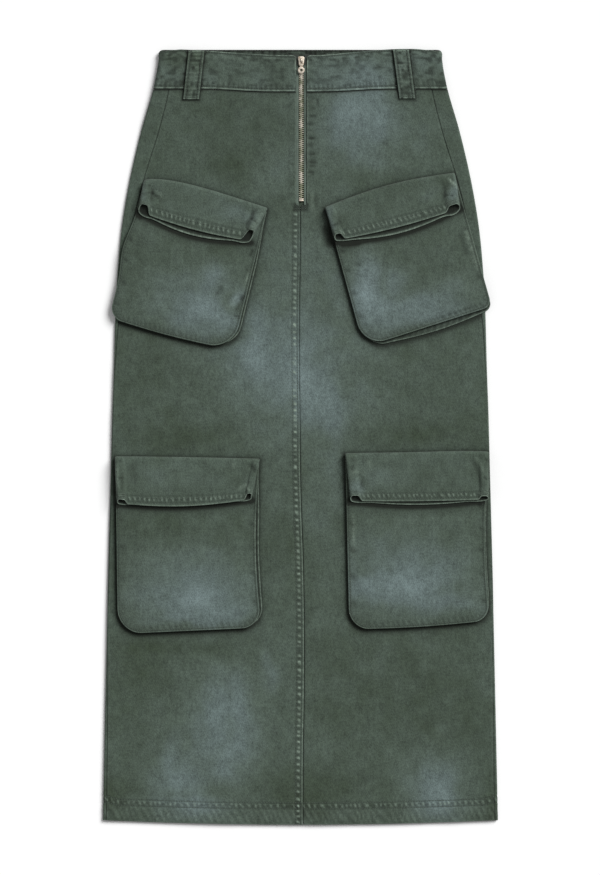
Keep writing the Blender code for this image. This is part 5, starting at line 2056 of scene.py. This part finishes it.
# Setting ------------------------------------------------------------------------------------------
@dataclass(frozen=True)
class Studio:
    """A pale floor, a broad soft light from the upper right, and a camera straight above."""

    floor_size: float = 4.0
    view_height: float = 1.09375
    centre: tuple = (-0.0005, -0.0007)
    lens: float = 120.0
    sensor: float = 36.0
    sun: float = 4.08
    sun_angle: float = 32.0
    elevation: float = 39.0
    azimuth: float = 42.0
    sky: float = 0.40

    def build(self, wardrobe: Wardrobe) -> None:
        """Make the floor, the light and the camera.

        Args:
            wardrobe: The materials.
        """
        half = self.floor_size / 2
        verts = np.array([(-half, -half, 0), (half, -half, 0), (half, half, 0), (-half, half, 0)])
        floor = put("floor", quad_mesh("floor", verts, np.array([[0, 1, 2, 3]])))
        floor.data.materials.append(wardrobe[Finish.FLOOR])
        self.light()
        self.camera()

    def light(self) -> None:
        """Add the soft key light and the even light from all round."""
        lamp = bpy.data.lights.new("key", "SUN")
        lamp.energy = self.sun
        lamp.angle = math.radians(self.sun_angle)
        key = put("key", lamp)
        up, turn = math.radians(self.elevation), math.radians(self.azimuth)
        towards = Vector((math.cos(up) * math.cos(turn), math.cos(up) * math.sin(turn), math.sin(up)))
        key.rotation_euler = (-towards).to_track_quat("-Z", "Y").to_euler()
        world = bpy.data.worlds.new("studio")
        world.use_nodes = True
        background = world.node_tree.nodes["Background"]
        background.inputs["Color"].default_value = (1.0, 1.0, 1.0, 1.0)
        background.inputs["Strength"].default_value = self.sky
        bpy.context.scene.world = world
        bpy.context.scene.view_settings.view_transform = "Standard"

    def camera(self) -> None:
        """Add the camera."""
        data = bpy.data.cameras.new("camera")
        data.lens = self.lens
        data.sensor_fit = "VERTICAL"
        data.sensor_height = self.sensor
        camera = put("camera", data)
        distance = self.view_height * self.lens / self.sensor
        camera.location = (*self.centre, 0.004 + distance)
        bpy.context.scene.camera = camera


# The garment --------------------------------------------------------------------------------------
POCKET_SHAPES = (
    dict(
        node="pocket_upper_left", fold=((-195, 320), (-41, 286)), base=((-239, 149), (-84, 109)),
        mouth=((-202, 281), (-63, 244)), fold_rise=8.0, fold_peak=0.32, base_sag=3.0, side_bow=(-5.0, 0),
        corner=(17, 31), hem_sag=4.0, lip_sag=11.0, lobe_back=(10, 14), lobe_width=(14, 11),
        foot=(-11, -3, 3), lip_ends=(2.5, 2.5),
        front_patches=((-124, 157, 30, 20, -14, 0.63), (-109, 191, 17, 27, 0, 0.5),
            (-137, 172, 60, 42, -14, 0.27), (-112, 143, 52, 17, -14, 0.56), (-160, 230, 60, 22, -14, -0.06),
            (-78, 166, 9, 15, -30, 0.5)),
        sleeve_patches=((-80, 272, 28, 14, -14, 0.2), (-196, 302, 6, 16, 15, 0.2)),
        front_creases=((((-73, 184), (-85, 168), (-95, 154)), 0.9, 3.2, -0.02),
            (((-66, 184), (-76, 166), (-83, 152)), -0.8, 2.2, 0.1),
            (((-96, 190), (-101, 181), (-108, 176)), -0.5, 4.0, 0.0),
            (((-58, 235), (-64, 225)), -0.6, 1.8, 0.3), (((-62, 212), (-70, 188)), 0.5, 1.8, 0.2)),
        sleeve_creases=((((-184, 311), (-187, 292)), -0.8, 2.0, 0.25),
            (((-186, 306), (-181, 301), (-175, 297)), -0.7, 1.4, 0.4),
            (((-182, 307), (-172, 300)), 0.5, 1.5, 0.2), (((-200, 303), (-186, 304)), -0.5, 0.9, 0.4),
            (((-197, 319), (-185, 318)), -0.5, 1.0, 0.3), (((-191, 314), (-186, 313)), -0.4, 0.9, 0.3),
            (((-46, 286), (-53, 272), (-61, 257)), 1.1, 3.2, 0.1),
            (((-57, 286), (-62, 273), (-71, 259)), -1.0, 2.4, 0.25),
            (((-69, 262), (-61, 255)), -0.4, 0.9, 0.35), (((-63, 274), (-52, 265)), -0.4, 1.2, 0.3),
            (((-49, 281), (-44, 284)), -0.5, 1.4, 0.3)), seed=101),
    dict(
        node="pocket_upper_right", fold=((31, 287), (192, 330)), base=((79, 112), (239, 163)),
        mouth=((44, 245), (199, 285)), fold_rise=6.5, fold_peak=0.5, base_sag=0.0, side_bow=(0, 0),
        corner=(30, 11), hem_sag=3.5, lip_sag=11.0, lobe_back=(7.5, 6.6), lobe_width=(11, 17),
        foot=(-3, 8, -13), lip_ends=(1.0, 4.0),
        front_patches=((82, 185, 19, 35, 0, 0.85), (94, 160, 27, 22, 0, 0.75), (118, 190, 18, 22, 0, 0.5),
            (143, 160, 68, 24, 16, 0.5), (150, 146, 76, 12, 16, 0.4)),
        sleeve_patches=((165, 305, 12, 10, 0, 0.2), (41, 272, 8, 16, 10, 0.36), (196, 310, 9, 17, 0, 0.36)),
        front_creases=((((203, 268), (214, 233), (222, 204)), 0.9, 3.6, 0.15),
            (((197, 258), (208, 225)), -0.6, 3.0, 0.1), (((66, 216), (76, 214)), -0.4, 2.5, 0.1),
            # This trough under the mouth's left end stands mostly for the lip's shadow: painted shade.
            (((46, 240), (60, 240), (78, 244)), -0.3, 5.5, 0.4),
            (((222, 160), (190, 150), (150, 137)), 0.5, 2.2, -0.02),
            (((224, 166), (196, 155), (160, 144)), -0.5, 2.2, -0.05)),
        sleeve_creases=((((34, 284), (40, 291), (49, 295)), 0.7, 1.8, 0.3),
            (((38, 262), (49, 267)), -0.6, 1.6, 0.3), (((46, 274), (52, 259)), -0.5, 2.4, 0.1),
            (((180, 328), (189, 317), (196, 309)), 0.9, 2.0, 0.35),
            (((197, 324), (201, 305)), 0.7, 1.8, 0.25), (((187, 321), (193, 320)), -0.5, 2.0, 0.2),
            (((182, 316), (178, 297)), -0.8, 3.0, 0.15),
            (((176, 297), (183, 301), (192, 301)), -0.5, 0.9, 0.4)), seed=131),
    dict(
        node="pocket_lower_left", fold=((-231, -24), (-51, -27)), base=((-228, -246), (-49, -238)),
        mouth=((-228, -83), (-62, -78)), fold_rise=0.5, fold_peak=0.5, base_sag=0.0, side_bow=(0, 6),
        corner=(31, 25), hem_sag=6.0, lip_sag=4.5, lobe_back=(5.4, 8), lobe_width=(12, 8), foot=(-3, -3, 4),
        front_patches=((-131, -200, 35, 20, 0, 0.85), (-131, -190, 75, 47, 0, 0.46),
            (-120, -214, 62, 16, 0, 0.5), (-150, -120, 70, 26, 0, -0.07), (-138, -226, 55, 12, 0, 0.5)),
        sleeve_patches=((-143, -50, 78, 18, 0, 0.1), (-224, -52, 9, 26, 0, -0.08)),
        front_creases=((((-57, -92), (-56, -180)), 0.4, 2.0, 0.1),),
        sleeve_creases=((((-73, -24), (-63, -35), (-54, -46)), -1.2, 3.0, 0.25),
            (((-61, -23), (-52, -34)), 0.9, 2.6, 0.3), (((-86, -40), (-78, -24)), 0.6, 1.5, 0.1),
            (((-80, -67), (-68, -60), (-62, -72)), 0.7, 2.0, 0.2),
            (((-230, -29), (-222, -32)), -0.5, 1.4, 0.35), (((-228, -51), (-221, -51)), -0.5, 1.2, 0.3),
            (((-229, -33), (-227, -70)), 0.5, 2.0, 0.2), (((-210, -34), (-206, -60)), -0.4, 5.0, -0.1)),
        seed=161),
    dict(
        node="pocket_lower_right", fold=((56, -20), (234, -18)), base=((61, -240), (236, -229)),
        mouth=((63, -80), (234, -78)), fold_rise=1.0, fold_peak=0.8, base_sag=2.5, side_bow=(0, 5),
        corner=(25, 19), hem_sag=1.2, lip_sag=5.7, lobe_back=(7, 4.4), lobe_width=(13, 11), foot=(-3, -3, 2),
        front_patches=((138, -187, 43, 22, 0, 0.78), (82, -190, 20, 16, 0, 0.67),
            (144, -178, 87, 52, 0, 0.42), (170, -210, 62, 14, 0, 0.42), (110, -204, 50, 12, 0, 0.45),
            (218, -160, 16, 60, 0, -0.08)),
        sleeve_patches=((101, -50, 30, 19, 0, 0.16), (67, -64, 8, 14, 0, 0.3)),
        front_creases=((((66, -92), (66, -150)), 0.4, 2.0, 0.1),),
        sleeve_creases=((((63, -46), (69, -43), (74, -45)), 0.7, 1.8, 0.1),
            (((61, -39), (68, -37)), -0.5, 2.0, 0.05), (((64, -26), (72, -32)), -0.4, 4.0, 0.0),
            (((78, -48), (76, -66)), -0.6, 3.0, 0.05), (((84, -28), (88, -44)), 0.5, 2.0, 0.05),
            (((212, -26), (218, -36), (222, -50), (226, -66)), -0.8, 2.8, 0.02),
            (((216, -22), (224, -34), (229, -48)), 0.7, 2.4, 0.0),
            (((229, -26), (234, -31)), -0.6, 1.6, 0.4), (((228, -50), (233, -53)), -0.5, 1.4, 0.35)),
        seed=191),
)


@dataclass
class CargoSkirt:
    """The whole skirt."""

    tube: SkirtTube = SkirtTube()
    wardrobe: Wardrobe = field(default_factory=Wardrobe)

    def build(self) -> None:
        """Build each part in order, then sew the stitches on."""
        t, w = self.tube, self.wardrobe
        pockets = [Pocket(t, w, **shape) for shape in POCKET_SHAPES]
        back = BackPanel(t, w).make()
        fronts = [FrontPanel(t, w, side, pockets).make() for side in (-1, 1)]
        band = Waistband(t, w).make()
        loops = [BeltLoop(t, w, *place, place in FRONT_LOOPS).make() for place in LOOPS]
        tapes = Zip(t, w).make()
        made = [piece for pocket in pockets for piece in pocket.make()]
        Seams(t, w, pockets).sew(fronts + [back, band] + tapes, loops[:2], made)


@dataclass
class Seams(SewnPart):
    """The rows of topstitching."""

    pockets: list

    def sew(self, panels: list, loops: list, pocket_pieces: list) -> None:
        """Lay all the rows.

        Args:
            panels: The panels, the waistband and the zip's tapes.
            loops: The two belt loops in front.
            pocket_pieces: The pockets' pieces.
        """
        t = self.tube
        thread = Stitching()
        ground = thread.ground(panels)
        drop = np.linspace(t.opening_end + 11 * MM, t.length - 1.5 * MM, 160)
        for inset in (2.6, 9.0):
            thread.sew(ground, np.stack([t.centre_seam(drop) - inset * MM, t.y(drop)], -1))
        for above in (19.7, 27.3):
            x = np.linspace(-0.2445, 0.2445, 300)
            lift = above * MM + 3 * MM * ramp(t.sections[-1][1] - np.abs(x), 20, 4)
            thread.sew(ground, np.stack([x, t.y(t.hem(x) - lift)], -1))
        thread.piece("panel_stitches", self.wardrobe)
        for side in (-1, 1):
            x = side * np.linspace(9 * MM, 0.168, 120)
            thread.sew(ground, np.stack([x, t.y(t.band_top(x) + 1.9 * MM)], -1))
            thread.sew(ground, np.stack([x, t.y(t.band_seam(x) - 3.6 * MM)], -1))
        thread.piece("waistband_stitches", self.wardrobe)
        self.sew_loops(thread, loops)
        self.sew_pockets(thread, pocket_pieces)
        self.sew_tacks(thread, ground)

    def sew_loops(self, thread: Stitching, loops: list) -> None:
        """Lay the rows along the front belt loops.

        Args:
            thread: The stitches.
            loops: The two loops.
        """
        ground = thread.ground(loops)
        for _, top, end in FRONT_LOOPS:
            for side in (-1, 1):
                path = [(x * MM + side * 7.2 * MM, float(self.tube.y(d * MM))) for x, d in (top, end)]
                thread.sew(ground, np.array(path), 2.9 * MM)
            for d, spot in ((2.5, top), (-2.6, end)):
                middle = np.array((spot[0] * MM, float(self.tube.y((spot[1] + d) * MM))))
                path = middle + np.array([(-8 * MM, 0), (8 * MM, 0)])
                thread.sew(ground, path, 2.9 * MM)
        thread.piece("belt_loop_stitches", self.wardrobe)

    def sew_pockets(self, thread: Stitching, pieces: list) -> None:
        """Lay the rows round the pockets' fronts and mouths.

        Args:
            thread: The stitches.
            pieces: The pockets' pieces.
        """
        ground = thread.ground(pieces)
        for pocket in self.pockets:
            edge = pocket.outline()
            thread.sew(ground, self.off_the_sleeve(pocket, edge - pocket.outward(edge) * 2.7 * MM))
            share = np.linspace(0.13, 0.87, 80)
            start, end = pocket.between(share)
            for inset in (3.3, 9.7):
                depth = pocket.lip(share, pocket.upper_z) - inset * MM
                reach = (end - start) @ pocket.down()
                thread.sew(ground, start + (end - start) * (depth / reach)[:, None])
        thread.piece("pocket_stitches", self.wardrobe)

    def off_the_sleeve(self, pocket: Pocket, path: Array) -> Array:
        """Return the part of a path that isn't under the pocket's turned-over mouth."""
        depth = (path - pocket.fold[0]) @ pocket.down()
        mouth = max(float(pocket.lip(np.array([0.0, 1.0]), pocket.lower_z).max()), 0.0)
        return path[depth > mouth + 3 * MM]

    def sew_tacks(self, thread: Stitching, ground: BVHTree) -> None:
        """Lay the close zigzag tack across the end of the zip opening.

        Args:
            thread: The stitches.
            ground: The panels' tree.
        """
        t = self.tube
        middle = float(t.y(t.opening_end + 4.2 * MM))
        rows = np.arange(-4.5, 4.6, 1.5) * MM
        path = []
        for i, dy in enumerate(rows):
            ends = [(-7.6 * MM, middle + dy), (7.4 * MM, middle + dy)]
            path.extend(ends if i % 2 == 0 else ends[::-1])
        thread.sew(ground, np.array(path), 3.0 * MM)
        thread.piece("zip_end_tack", self.wardrobe)


def main() -> None:
    """Build the skirt and its setting."""
    logging.basicConfig(level=logging.INFO, format="%(name)s: %(message)s")
    skirt = CargoSkirt()
    skirt.build()
    Studio().build(skirt.wardrobe)


if __name__ == "__main__":
    main()
